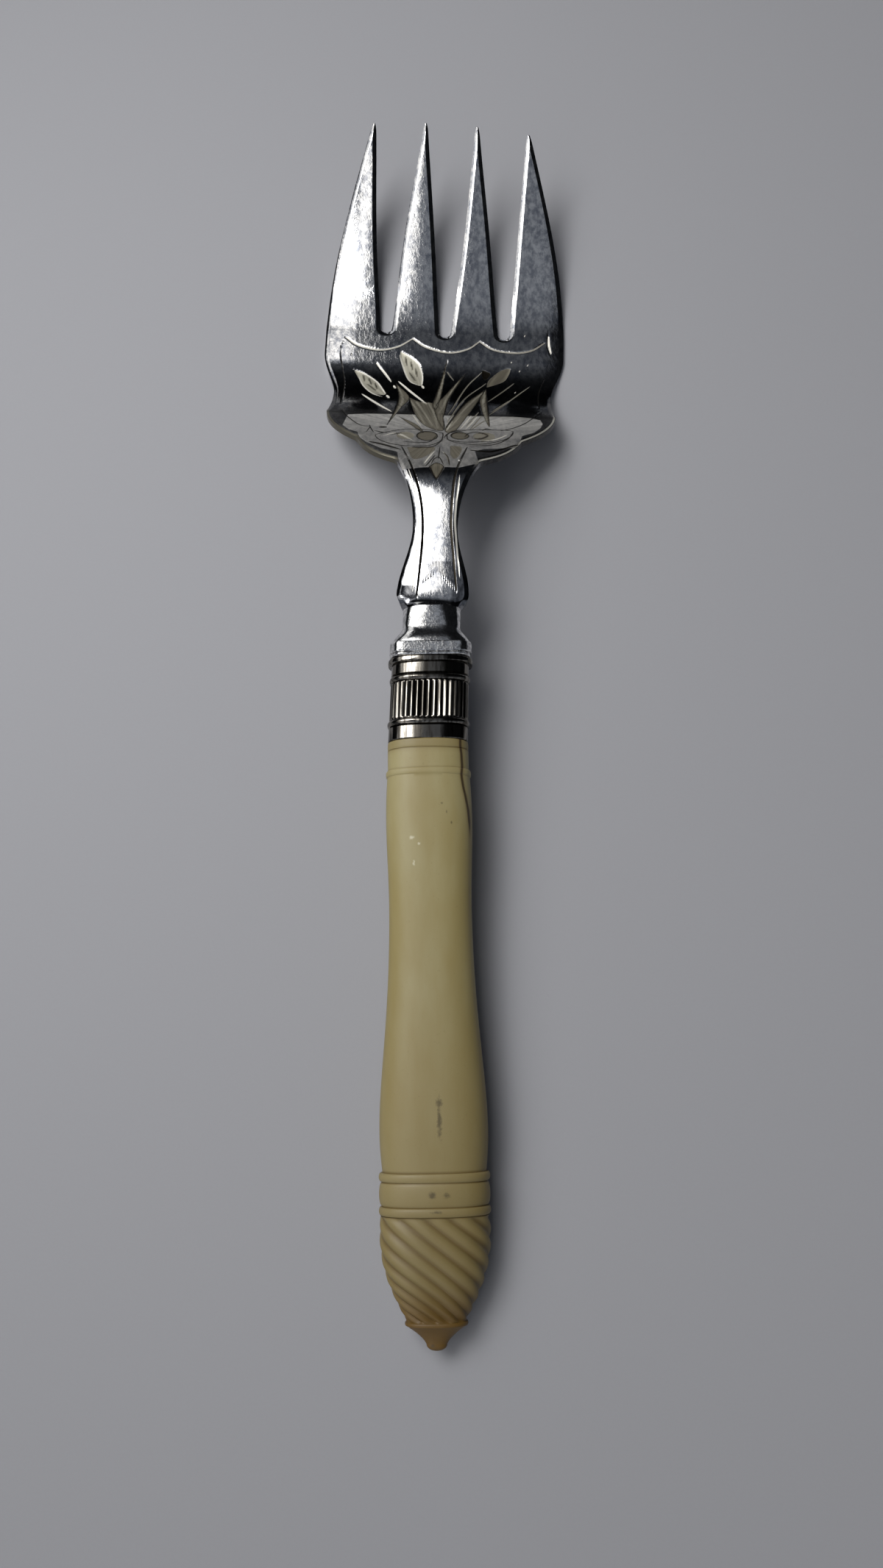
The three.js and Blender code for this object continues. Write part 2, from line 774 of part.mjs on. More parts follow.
// Blade and neck: one sheet of even rows and columns, bent to the side
// profile, thickened square to it and walled along every free edge
function bladeGeometry() {
  const slotSteps = 4;
  const rootColumns = [];
  const kinds = [];
  for (let tine = 0; tine < tineCount; tine += 1) {
    tineColumns(tineEdges(tine, slotSpringStation)).forEach((across, column) => {
      rootColumns.push(across);
      kinds.push({ tine, column });
    });
    for (let i = 1; i < slotSteps && tine < tineCount - 1; i += 1) {
      rootColumns.push(slotCentres[tine] - slotRadius * Math.cos((Math.PI * i) / slotSteps));
      kinds.push({ slotShare: i / slotSteps });
    }
  }
  const rootHalfWidth = rootColumns.at(-1);
  const columnCount = rootColumns.length;

  // Rows below the slots share the columns of the slot roots, drawn in to the outline
  const rows = headRows().map(({ station, halfWidth }) => rootColumns.map((across, i) => {
    if (i === 1) return { across: edgeBevelWidth - halfWidth, station };
    if (i === columnCount - 2) return { across: halfWidth - edgeBevelWidth, station };
    return { across: (across * halfWidth) / rootHalfWidth, station };
  }));
  rows.push(rootColumns.map((across, i) => ({
    across,
    station: slotSpringStation - slotRadius * Math.sin(Math.PI * (kinds[i].slotShare || 0)),
  })));
  const rootRow = rows.length - 1;
  const tineSteps = 9;
  const taperStart = headLength - tipTaperLength;
  const tineStations = [];
  for (let i = 1; i <= tineSteps; i += 1) {
    tineStations.push(mix(slotSpringStation, taperStart, i / tineSteps));
  }
  tipStationShares.forEach((share) => tineStations.push(taperStart + tipTaperLength * share));
  tineStations.forEach((station) => {
    rows.push(kinds.map(({ tine, column }) => (tine === undefined ? null : {
      across: tineColumns(tineEdges(tine, station))[column],
      station: station + tipReach(tine, station),
    })));
  });

  // A cell exists where all four of its corners do and it isn't inside a slot
  const inSlot = (column) => 'slotShare' in kinds[column] || 'slotShare' in kinds[column + 1];
  const isCell = (row, column) => row >= 0 && row < rows.length - 1
    && column >= 0 && column < columnCount - 1
    && (row < rootRow || !inSlot(column));
  const isFree = (row, column) => row > 0 && !(isCell(row, column) && isCell(row - 1, column)
    && isCell(row, column - 1) && isCell(row - 1, column - 1));

  const vertices = [];
  const index = rows.map((row, r) => row.map((point, c) => {
    if (!point) return null;
    const { across, station } = point;
    const slope = bladeSlope(station);
    const tilt = Math.hypot(1, slope);
    const bevel = isFree(r, c) ? edgeBevelDrop : 0;
    const top = bladeHeight(station) - crownDrop(across, station) - bevel;
    const thick = headThickness(station);
    const neck = along(thicknessShares, station / headLength);
    const round = thick * neckRoundShare * neck * (across / row.at(-1).across) ** 2;
    const below = (thick - round - bevel) / tilt;
    const corners = [
      place(across, station, top),
      place(across, station + below * slope, top - below),
    ];
    if (r === 0) corners.forEach((corner) => corner.setY(bolsterEnd));
    return vertices.push(...corners) - corners.length;
  }));

  const faces = [];
  const quad = (a, b, c, d) => faces.push(a, b, c, a, c, d);
  for (let r = 0; r < rows.length - 1; r += 1) {
    for (let c = 0; c < columnCount - 1; c += 1) {
      if (isCell(r, c)) {
        const [a, b] = [index[r][c], index[r][c + 1]];
        const [d, e] = [index[r + 1][c], index[r + 1][c + 1]];
        quad(a, b, e, d);
        quad(a + 1, d + 1, e + 1, b + 1);
        if (!isCell(r - 1, c)) quad(a, a + 1, b + 1, b);
        if (!isCell(r + 1, c)) quad(e, e + 1, d + 1, d);
        if (!isCell(r, c - 1)) quad(d, d + 1, a + 1, a);
        if (!isCell(r, c + 1)) quad(b, b + 1, e + 1, e);
      }
    }
  }
  return solid(vertices, faces);
}

// From distances across and along the head to the fork's own frame
function place(across, station, height) {
  return new THREE.Vector3(
    axisAcross(bolsterEnd) + across * Math.cos(headLean) + station * Math.sin(headLean),
    bolsterEnd + station * Math.cos(headLean) - across * Math.sin(headLean),
    height,
  );
}

function finish(color, roughness, metalness) {
  return new THREE.MeshStandardMaterial({ color, roughness, metalness });
}

function part(name, geometry, material) {
  const mesh = new THREE.Mesh(geometry, material);
  mesh.name = name;
  return mesh;
}

const platedMetal = finish(0xc9c7c0, 0.22, 1);
const tarnishedMetal = finish(0x8f8b80, 0.35, 1);
const carvedHandle = finish(0xd9cfa4, 0.45, 0);
const forgedMetal = finish(0x7a746a, 0.6, 1);
const resin = finish(0x3a2418, 0.7, 0);

const fork = new THREE.Group();
fork.add(
  part('blade', bladeGeometry(), platedMetal),
  part('bolster', bolsterGeometry(), platedMetal.clone()),
  part('ferrule_cap', capGeometry(), tarnishedMetal),
  part('ferrule', ferruleGeometry(), tarnishedMetal.clone()),
  part('handle', handleGeometry(), carvedHandle),
  part('tang', tangGeometry(), forgedMetal),
  part('resin_fill', resinGeometry(), resin),
);

// The origin is under the middle of the fork, on the surface it lies on
const bounds = new THREE.Box3().setFromObject(fork);
const middle = bounds.getCenter(new THREE.Vector3());
fork.position.set(-middle.x, -middle.y, -bounds.min.z);

export default fork;
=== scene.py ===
# %% [markdown]
# # Serving fork with a carved handle
#
# The fork is an antique: a plated blade with four tines, cut with a pattern of
# reeds and grasses, a small cast bolster, a reeded ferrule, and a carved handle
# the colour of old ivory. Its solids come from CAD. This lesson gives the five
# that show a finer skin, worked out with numpy, and all seven a finish made of
# shader nodes. All lengths are in millimetres until a mesh is written, and +Y
# runs from the finial to the tines. Floor, lamp, bumps and the camera's near limit
# are given in metres, which is what Blender takes.

# %% load the packed model
import math

import bpy
import numpy as np
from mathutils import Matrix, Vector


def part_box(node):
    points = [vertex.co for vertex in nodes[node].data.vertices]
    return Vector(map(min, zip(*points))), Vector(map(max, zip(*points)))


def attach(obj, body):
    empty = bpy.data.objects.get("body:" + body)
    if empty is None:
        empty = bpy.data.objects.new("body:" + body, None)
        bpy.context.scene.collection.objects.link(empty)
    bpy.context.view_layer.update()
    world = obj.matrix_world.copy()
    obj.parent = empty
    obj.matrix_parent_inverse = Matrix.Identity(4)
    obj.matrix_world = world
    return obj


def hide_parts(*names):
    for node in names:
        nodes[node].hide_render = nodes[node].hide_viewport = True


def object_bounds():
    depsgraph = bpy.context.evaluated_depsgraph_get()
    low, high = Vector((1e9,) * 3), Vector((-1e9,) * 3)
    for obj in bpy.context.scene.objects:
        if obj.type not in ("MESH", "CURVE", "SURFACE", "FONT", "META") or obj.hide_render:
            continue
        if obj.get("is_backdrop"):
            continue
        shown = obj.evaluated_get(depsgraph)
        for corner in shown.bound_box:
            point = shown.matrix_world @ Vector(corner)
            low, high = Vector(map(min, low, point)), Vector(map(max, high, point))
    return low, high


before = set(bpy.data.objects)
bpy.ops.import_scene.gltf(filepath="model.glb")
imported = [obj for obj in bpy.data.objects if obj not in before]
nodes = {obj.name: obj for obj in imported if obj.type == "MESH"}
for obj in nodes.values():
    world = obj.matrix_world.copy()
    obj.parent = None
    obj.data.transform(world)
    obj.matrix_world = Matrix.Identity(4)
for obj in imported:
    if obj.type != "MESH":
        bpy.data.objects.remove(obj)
cad_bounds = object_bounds()
MM = 0.001
BODY = "root"

# %% [markdown]
# ## Places along the fork
#
# Every piece hangs on one line, the axis of the handle. It slopes, because the
# fork lies on its pommel and on the bottom of its bowl, and past the handle the
# ferrule and bolster lean a little to the right, as a pinned handle does after a
# century of use. Stations are distances from the tip of the finial, or in the head
# from the neck's foot, which stands a seat's height over the axis. The flatness is
# how deep a section is for its width, and the powers say how square it is.

# %% stations and the axis
handle_low, handle_high = [np.array(corner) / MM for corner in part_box("handle")]
AXIS_X = (handle_low[0] + handle_high[0]) / 2
TIP_Y = handle_low[1]


def stations_of(name):
    """First and last station of a CAD piece, from its box, to a hundredth of a millimetre."""
    return [round(float(corner[1]) / MM - float(TIP_Y), 2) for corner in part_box(name)]


SPIRAL_START, SPIRAL_END = 5.2, 23.6
GRIP_START = 31.3
HANDLE_END, FERRULE_END = stations_of("ferrule")
CAP_END = stations_of("ferrule_cap")[1]
PLINTH_END = 132.1
BOLSTER_END = stations_of("bolster")[1]
BOLSTER_LEAN = math.radians(2.6)
HEAD_LEAN = math.radians(3.05)
FLATNESS = 0.56
HANDLE_POWER, FERRULE_POWER = 2.4, 2.7

HEAD_LENGTH = 114.0
WIDEST_STATION, WIDEST = 67.3, 27.15
SPRING_STATION, SLOT_RADIUS, SLOT_CENTRE = 72.95, 1.35, 13.45
PLATE, TIP_THICKNESS, FOOT_THICKNESS = 1.4, 1.2, 4.0
SEAT_HEIGHT = 2.1
print("handle axis at x", round(AXIS_X, 2), "finial at y", round(TIP_Y, 2))
print("handle ends at", HANDLE_END, "ferrule", FERRULE_END, "cap", CAP_END, "bolster", BOLSTER_END)

# %% [markdown]
# ## Side profile of the blade
#
# Seen from the side the blade drops from the neck into its bowl and climbs again
# to the tips. The profile is kept as slopes, because slopes are what a polished
# surface shows: its reflections bend where the slope changes. Adding the slopes
# up from the flat under the bowl gives the height. A third table says how much of
# the foot's extra thickness is left along the head.

# %% height of the blade
DIP = np.array([(0, .11), (.27, .12), (.36, 0), (.45, -.5), (.52, -.63), (.63, -.64),
                (.71, -.55), (.79, -.33), (.86, -.1), (.9, 0), (1, 0)])
RISE = np.array([(0, 0), (.1, .17), (.27, .31), (1, .6)])
THICKENING = np.array([(0, 1), (.1, .55), (.2, .25), (.28, .05), (.32, 0), (1, 0)])


def tine_share(station):
    """How far up the tines: 0 at the slot roots, 1 at the tips."""
    return (station - SPRING_STATION) / (HEAD_LENGTH - SPRING_STATION)


def blade_slope(station):
    """Slope in side view, read from the table of the bowl or of the tines."""
    bowl = np.interp(station / SPRING_STATION, *DIP.T)
    return np.where(tine_share(station) > 0, np.interp(tine_share(station), *RISE.T), bowl)


profile_stations = np.linspace(-2, HEAD_LENGTH + 2, 2400)
profile_steps = np.diff(profile_stations)
profile_middles = profile_stations[:-1] + profile_steps / 2
profile_heights = np.concatenate([[0], np.cumsum(blade_slope(profile_middles) * profile_steps)])
profile_heights += PLATE - np.interp(SPRING_STATION, profile_stations, profile_heights)


def blade_height(station):
    """Top of the blade over the table: the sum of the slopes from the slot roots."""
    return np.interp(station, profile_stations, profile_heights)


AXIS_END = float(blade_height(0)) - SEAT_HEIGHT
print("neck foot stands", round(AXIS_END + SEAT_HEIGHT, 2), "mm over the table")

# %% [markdown]
# ## Outlines
#
# A turner or carver works with a few sweeps that join at chosen widths. Each
# sweep here is one cubic curve: it leaves with one slope and arrives with
# another. Beads are half ellipses set on the edge of the outline. A ramp is what
# fades one form into the next.

# %% ramps, sweeps and beads
def ramp(value, start, end):
    """0 before the start, 1 past the end, and (value - start) / (end - start) between."""
    return np.clip((value - start) / (end - start), 0, 1)


def sweep(start, end, slopes=(0, 0), holds=(1 / 3, 1 / 3), count=40):
    """Points of a cubic Bezier between two (station, half-width) pairs.

    Its inner control points lie on the end slopes, at the held shares of the length.
    """
    (s0, w0), (s1, w1) = start, end
    leave, arrive = (s1 - s0) * holds[0], (s1 - s0) * holds[1]
    points = np.array([(s0, w0), (s0 + leave, w0 + leave * slopes[0]),
                       (s1 - arrive, w1 - arrive * slopes[1]), (s1, w1)])
    t = np.linspace(0, 1, count + 1)[:, None]
    return ((1 - t) ** 3 * points[0] + 3 * t * (1 - t) ** 2 * points[1]
            + 3 * t ** 2 * (1 - t) * points[2] + t ** 3 * points[3])


def bead(start, length, edge, height, count=14, power=2.0):
    """Half ellipse on an outline: edge + height * (1 - |x|^power)^(1 / power)."""
    x = np.linspace(-1, 1, count + 1)
    raised = height * (1 - np.abs(x) ** power) ** (1 / power)
    return np.column_stack([start + length * (x + 1) / 2, edge + raised])


def joined(*stretches):
    """One outline from several, without points that fall together."""
    points = np.concatenate(stretches)
    apart = np.abs(np.diff(points, axis=0)).max(axis=1) > 1e-4
    return points[np.concatenate([[True], apart])]


print("a bead in five points:", np.round(bead(0, 2, 0, .5, count=4), 2).tolist())

# %% [markdown]
# ## Lofts
#
# Handle, cap, ferrule and bolster are all lofts: flattened round sections,
# |x/a|^n + |z/b|^n = 1, carried along the axis. Points are spread evenly along
# the section, or flutes and reeds would bunch at the sides.

# %% sections carried along the axis
def axis_height(station):
    """Height of the axis, a straight line that falls toward the finial."""
    return AXIS_END - AXIS_SLOPE * (BOLSTER_END - station)


def axis_across(station):
    """Sideways place of the axis, which leans to the right past the handle."""
    return AXIS_X + np.maximum(0, station - HANDLE_END) * math.tan(BOLSTER_LEAN)


def section_reach(angle, half_width, half_depth, power):
    """Distance from the axis: (|sin/a|^n + |cos/b|^n)^(-1/n)."""
    return (np.abs(np.sin(angle) / half_width) ** power
            + np.abs(np.cos(angle) / half_depth) ** power) ** (-1 / power)


def even_angles(power, samples=4000):
    """Share of the way round a section, and the angle from its top, in step."""
    angle = np.linspace(0, 2 * np.pi, samples)
    reach = section_reach(angle, 1, FLATNESS, power)
    x, z = reach * np.sin(angle), reach * np.cos(angle)
    walked = np.concatenate([[0], np.cumsum(np.hypot(np.diff(x), np.diff(z)))])
    return walked / walked[-1], angle


def on_axis(stations, reach, angle):
    """Points at a distance and an angle from the axis, at each station."""
    station = stations[:, None] + 0 * reach
    return np.stack([axis_across(station) + reach * np.sin(angle), TIP_Y + station,
                     axis_height(station) + reach * np.cos(angle)], axis=-1)


def loft(stations, half_widths, half_depths, power, shares, inward=0.0):
    """Grid of points, one row for each station and one column for each share round."""
    angle = np.interp(shares % 1, *even_angles(power))
    reach = section_reach(angle, half_widths[:, None], half_depths[:, None], power) - inward
    return on_axis(stations, reach, angle)


eighth = np.interp(1 / 8, *even_angles(HANDLE_POWER))
print("an eighth of the way round is", round(math.degrees(eighth), 1), "degrees from the top")

# %% faces of a loft
def tube_faces(rows, count, closed=False):
    """Four-cornered faces of a grid whose columns close round."""
    i = np.arange(count)
    next_i = (i + 1) % count
    row = np.arange(rows if closed else rows - 1)[:, None]
    here, there = row * count, ((row + 1) % rows) * count
    return np.stack([here + i, here + next_i, there + next_i, there + i], axis=-1).reshape(-1, 4)


def end_fans(rows, count):
    """Triangles that close both ends on two middle points added after the grid."""
    i = np.arange(count)
    next_i = (i + 1) % count
    first, last, last_row = rows * count, rows * count + 1, (rows - 1) * count
    return np.concatenate([
        np.column_stack([np.full(count, first), next_i, i]),
        np.column_stack([np.full(count, last), last_row + i, last_row + next_i]),
    ])


def capped(*stretches):
    """Points and faces of a loft that is closed at both ends."""
    rows = np.concatenate(stretches)
    size = rows.shape[:2]
    points = np.concatenate([rows.reshape(-1, 3), rows[[0, -1]].mean(axis=1)])
    return points, [tube_faces(*size), end_fans(*size)]


def looped(*stretches):
    """Points and faces of a loft that closes on itself through its bore."""
    rows = np.concatenate(stretches)
    return rows.reshape(-1, 3), [tube_faces(*rows.shape[:2], closed=True)]


print("a loft of 3 rows by 8 has", len(tube_faces(3, 8)) + len(end_fans(3, 8)), "faces")

# %% [markdown]
# ## Writing a mesh
#
# A piece is written once, from whole arrays: the points, the faces in sets of
# equal corner counts, and any values that its finish reads at the points. Edges
# where the surface turns sharply are marked, so that shading stays crisp there.

# %% write a piece
def put_in_scene(name, data):
    """A new object for a mesh, a lamp or a camera, linked to the scene."""
    made = bpy.data.objects.new(name, data)
    bpy.context.scene.collection.objects.link(made)
    return made


def write_piece(name, points, face_sets, fields=None, crease=35):
    """Mesh object at the origin with its place in its mesh; fields become attributes."""
    mesh = bpy.data.meshes.new(name)
    mesh.vertices.add(len(points))
    mesh.vertices.foreach_set("co", (points * MM).ravel())
    corners = np.concatenate([faces.ravel() for faces in face_sets])
    sizes = np.concatenate([np.full(len(faces), faces.shape[1]) for faces in face_sets])
    mesh.loops.add(len(corners))
    mesh.loops.foreach_set("vertex_index", corners.astype(np.int32))
    mesh.polygons.add(len(sizes))
    starts = np.concatenate([[0], np.cumsum(sizes)[:-1]])
    mesh.polygons.foreach_set("loop_start", starts.astype(np.int32))
    mesh.update(calc_edges=True)
    for field, values in (fields or {}).items():
        layer = mesh.attributes.new(field, "FLOAT", "POINT")
        layer.data.foreach_set("value", np.asarray(values, np.float32))
    mesh.shade_smooth()
    mesh.set_sharp_from_angle(angle=math.radians(crease))
    mesh.validate()
    print(name, len(points), "points,", int((sizes - 2).sum()), "triangles")
    return put_in_scene(name, mesh)


# %% [markdown]
# ## Places read off the photograph
#
# The crack, the stains and the engraving follow no formula, so their points are
# picked on the photograph, in its pixels. A pixel is a ray from the camera,
# and the mark lies where the ray meets the piece. That place is found by turns:
# guess a height, see where the ray is at that height, and go halfway to the height
# at which the piece stands there. The camera's place was found the same way round,
# from lengths of the fork and from how far its shadows fall.

# %% the photograph's camera
PHOTO_WIDTH, PHOTO_HEIGHT, FOCAL_PIXELS = 1200, 2132, 1540
CAMERA_UP, CAMERA_ASIDE, CAMERA_AHEAD = 229.0, 1.68, 52.54
CAMERA_TILT, CAMERA_ROLL = math.radians(13.4), math.radians(-.96)
CAMERA = np.array([AXIS_X + CAMERA_ASIDE, TIP_Y + CAMERA_AHEAD, CAMERA_UP])
FIRST_GUESS, TURNS = 5.0, 60


def rays_through(pixels):
    """Directions of sight: ahead, plus right and up by pixels over the focal length."""
    x, y = np.array(pixels, float).T
    right = (x - PHOTO_WIDTH / 2) / FOCAL_PIXELS
    up = (PHOTO_HEIGHT / 2 - y) / FOCAL_PIXELS
    ahead = math.sin(CAMERA_TILT) + up * math.cos(CAMERA_TILT)
    sin_roll, cos_roll = math.sin(CAMERA_ROLL), math.cos(CAMERA_ROLL)
    return np.stack([right * cos_roll - ahead * sin_roll, right * sin_roll + ahead * cos_roll,
                     up * math.sin(CAMERA_TILT) - math.cos(CAMERA_TILT)], axis=-1)


def met(pixels, unroll, height_of):
    """Across and along a piece, where rays meet it: height = (height + the piece's) / 2."""
    rays = rays_through(pixels)
    height = np.full(len(rays), FIRST_GUESS)
    for _ in range(TURNS):
        spot = CAMERA + rays * ((height - CAMERA_UP) / rays[:, 2])[:, None]
        across, along = unroll(spot[:, 0], spot[:, 1])
        height = (height + height_of(across, along)) / 2
    return np.column_stack([across, along])


print("camera at", np.round(CAMERA, 1), "mm")

# %% [markdown]
# ## Handle
#
# On the real fork the handle is one carved piece. A small finial ends the
# pommel, eleven soft ridges wind round it, and a band between two beads marks
# where the grip starts. The grip swells and narrows once, and a lip meets the
# ferrule. It could be sculpted, but a loft with the spiral worked into the
# distance from the axis keeps every ridge even.

# %% outline of the handle
FINIAL_TIP, FINIAL_TIP_HALF = 1.2, 1.9
FINIAL_LENGTH = 4.4
COLLAR_LENGTH, COLLAR_HALF, COLLAR_GROOVE = .8, 5.8, .35
SPIRAL_HALF = 10.1
BEAD_LENGTH, BEAD_HALF, BEAD_HEIGHT = 1.7, 10.4, .6
BAND_LENGTH, BAND_RISE = 4.3, .55
GRIP_LENGTH = 74.2
RING_LENGTH, RING_EDGE, RING_RISE = 1.3, 8.15, .25
GRIP_SHARES, GRIP_HALVES = (0, .1, .66, .89, 1), (9.7, 10.2, 8.0, 8.45, RING_EDGE)
THROAT_LENGTH, THROAT_HALF = 4.0, 8.0
LIP_LENGTH, LIP_HALF, LIP_EDGE = 1.8, 8.0, .3

rounding = np.linspace(.02, 1, 10)
finial_tip = np.column_stack([
    FINIAL_TIP * rounding, FINIAL_TIP_HALF * (1 - (1 - rounding) ** 2.2) ** .5])
collar_edge, bead_edge = COLLAR_HALF - COLLAR_GROOVE, BEAD_HALF - BEAD_HEIGHT
grip = np.column_stack([GRIP_START + GRIP_LENGTH * np.array(GRIP_SHARES), GRIP_HALVES])
ring_start = grip[-1, 0]
throat_start = ring_start + RING_LENGTH
lip_start = throat_start + THROAT_LENGTH
handle_outline = joined(
    finial_tip,
    sweep((FINIAL_TIP, FINIAL_TIP_HALF), (FINIAL_LENGTH, collar_edge), (.5, 1.6), count=12),
    bead(FINIAL_LENGTH, COLLAR_LENGTH, collar_edge, COLLAR_GROOVE, count=8),
    sweep((SPIRAL_START, collar_edge), (SPIRAL_END, SPIRAL_HALF), (.56, -.12), (.29, .45),
          count=70),
    bead(SPIRAL_END, BEAD_LENGTH, bead_edge, BEAD_HEIGHT),
    bead(SPIRAL_END + BEAD_LENGTH, BAND_LENGTH, bead_edge, BAND_RISE),
    bead(GRIP_START - BEAD_LENGTH, BEAD_LENGTH, bead_edge, BEAD_HEIGHT),
    sweep(grip[0], grip[1], (.12, 0), count=16),
    sweep(grip[1], grip[2], holds=(.25, .5), count=36),
    sweep(grip[2], grip[3], count=20),
    sweep(grip[3], grip[4], (0, -.08), count=12),
    bead(ring_start, RING_LENGTH, RING_EDGE, RING_RISE, count=10),
    sweep((throat_start, THROAT_HALF), (lip_start, THROAT_HALF), count=10),
    bead(lip_start, LIP_LENGTH, LIP_HALF - LIP_EDGE, LIP_EDGE, power=3),
)
handle_stations, handle_halves = handle_outline.T
handle_depths = handle_halves * FLATNESS
AXIS_SLOPE = float(np.min((AXIS_END - handle_depths) / (BOLSTER_END - handle_stations)))
print("handle outline", len(handle_outline), "rows; slope of the axis", round(AXIS_SLOPE, 4))

# %% [markdown]
# The ridges wind because each row of the loft is turned by the length that the
# spiral has run sideways, divided by the girth there. The groove between two
# ridges is half 1 - |cos|, round on the ridge and sharp in the groove, and half
# sin^2, which makes it wider. Dirt gathers in it, so the same value goes to the
# finish.

# %% ridges that wind round the pommel
FLUTES, FLUTE_COUNT, FLUTE_DEPTH = 11, 16, .5
SPIRAL_RUN, SPIRAL_FADE = 1.35, .5

fine = np.linspace(SPIRAL_START, SPIRAL_END, 400)
girths = np.pi * (1 + FLATNESS) * np.interp(fine, handle_stations, handle_halves)
wound = np.cumsum(SPIRAL_RUN / girths) * (fine[1] - fine[0])
turned = wound[-1] - np.interp(handle_stations, fine, wound)
round_handle = np.arange(FLUTES * FLUTE_COUNT) / (FLUTES * FLUTE_COUNT)
wave = np.pi * round_handle * FLUTES
fading = (ramp(handle_stations, SPIRAL_START, SPIRAL_START + SPIRAL_FADE)
          * ramp(handle_stations, SPIRAL_END, SPIRAL_END - SPIRAL_FADE)) ** .5
groove = fading[:, None] * (.5 * (1 - np.abs(np.cos(wave))) + .5 * np.sin(wave) ** 2)
print("the ridges turn through", round(360 * float(wound[-1])), "degrees")

# %% skin and bore of the handle
BORE_HALF, BORE_DEPTH, SPIGOT_HALF = 3.4, 2.6, 6.75
TANG_LENGTH, BELOW_TANG, SPIGOT_GAP = 60, 4, .3

spigot, bore = (SPIGOT_HALF, SPIGOT_HALF * FLATNESS), (BORE_HALF, BORE_DEPTH)
spigot_end = FERRULE_END - SPIGOT_GAP
bore_bottom = CAP_END - TANG_LENGTH - BELOW_TANG
inside = np.array([(HANDLE_END, *spigot), (spigot_end, *spigot), (spigot_end, *bore),
                   (HANDLE_END, *bore), (bore_bottom, *bore)])
handle_skin = loft(handle_stations, handle_halves, handle_depths, HANDLE_POWER,
                   round_handle + turned[:, None], FLUTE_DEPTH * groove)
handle_bore = loft(*inside.T, HANDLE_POWER, round_handle)
handle_rows = np.concatenate([handle_skin, handle_bore])
along_handle = handle_rows[..., 1] - TIP_Y
crevice = np.concatenate([groove, np.zeros(handle_bore.shape[:2])])
print("bore", round(spigot_end - bore_bottom, 1), "mm deep")

# %% [markdown]
# Ochre has gathered wherever the turned profile lies lower than what is round it:
# beside the beads, the ring and the lip. Such a place is found by how far the
# outline lies below its own average over a millimetre and a half.

# %% hollows that hold dirt
EVEN_STEP, NEIGHBOURS, FULL_HOLLOW = .05, 16, .3

even = np.arange(0, HANDLE_END, EVEN_STEP)
even_halves = np.interp(even, handle_stations, handle_halves)
window = np.full(2 * NEIGHBOURS + 1, 1 / (2 * NEIGHBOURS + 1))
average = np.convolve(np.pad(even_halves, NEIGHBOURS, mode="edge"), window, mode="valid")
hollow = np.interp(along_handle, even, ramp(average - even_halves, 0, FULL_HOLLOW))
print("deepest hollow", round(float((average - even_halves).max()), 2), "mm deep")

# %% [markdown]
# A crack runs down from the throat, as it does when a handle dries on its tang.
# It is picked as a line on the photograph. Its distance, as a negative number,
# goes to the finish, and the line closes toward its lower end.

# %% the crack, and the handle
CRACK = [(625.5, 1003), (625.5, 1014), (627, 1025), (628, 1042), (627, 1054), (629.5, 1070),
         (632, 1080), (634, 1090), (636, 1100), (638, 1120), (638.5, 1140), (638, 1180)]
CRACK_TAIL, CRACK_CLOSED = 9, .7
NO_CRACK = -9


def handle_place(x, y):
    """Across and along the handle, from its axis and from the tip of the finial."""
    return x - AXIS_X, y - TIP_Y


def handle_top(across, station):
    """Height of the handle's upper side: axis + b (1 - |x / a|^n)^(1 / n)."""
    half = np.interp(station, handle_stations, handle_halves)
    out = np.minimum(np.abs(across) / half, .999)
    return axis_height(station) + half * FLATNESS * (1 - out ** HANDLE_POWER) ** (1 / HANDLE_POWER)


crack_across, crack_station = met(CRACK, handle_place, handle_top)[::-1].T
line_across = np.interp(along_handle, crack_station, crack_across)
from_crack = np.abs(handle_rows[..., 0] - AXIS_X - line_across)
tail = np.clip((crack_station[0] + CRACK_TAIL - along_handle) / CRACK_TAIL, 0, 2)
on_top = handle_rows[..., 2] > axis_height(along_handle)
crack = np.where(on_top, -from_crack - CRACK_CLOSED * tail, NO_CRACK)
print("crack from station", round(crack_station[-1], 1), "down to", round(crack_station[0], 1))
handle = write_piece("handle_carved", *capped(handle_rows), {
    "crevice": np.append(crevice, [0, 0]), "hollow": np.append(hollow, [0, 0]),
    "crack": np.append(crack, [NO_CRACK, NO_CRACK])})

# %% [markdown]
# ## Ferrule
#
# The ferrule is a thin tube, a little wider at the handle. It is pressed with
# thirty-six reeds between two beads. It could be modelled flat and bent round,
# but as a loft that closes on itself through its bore it needs no seam.

# %% outline of the ferrule
FERRULE_HALF, FERRULE_TOP_HALF, FERRULE_WALL = 7.95, 7.75, .7
LOWER_PLAIN, UPPER_PLAIN = 2.6, 2.2
FERRULE_BEAD, FERRULE_BEAD_RISE = 1.3, .3
GROOVE_LENGTH, GROOVE_DEPTH = .3, .3
END_ROUND, STEP_IN, STEP_DEPTH = .15, .1, .2
EASE_START, EASE_END, EASE_DROP, APART = .05, .3, .1, .05

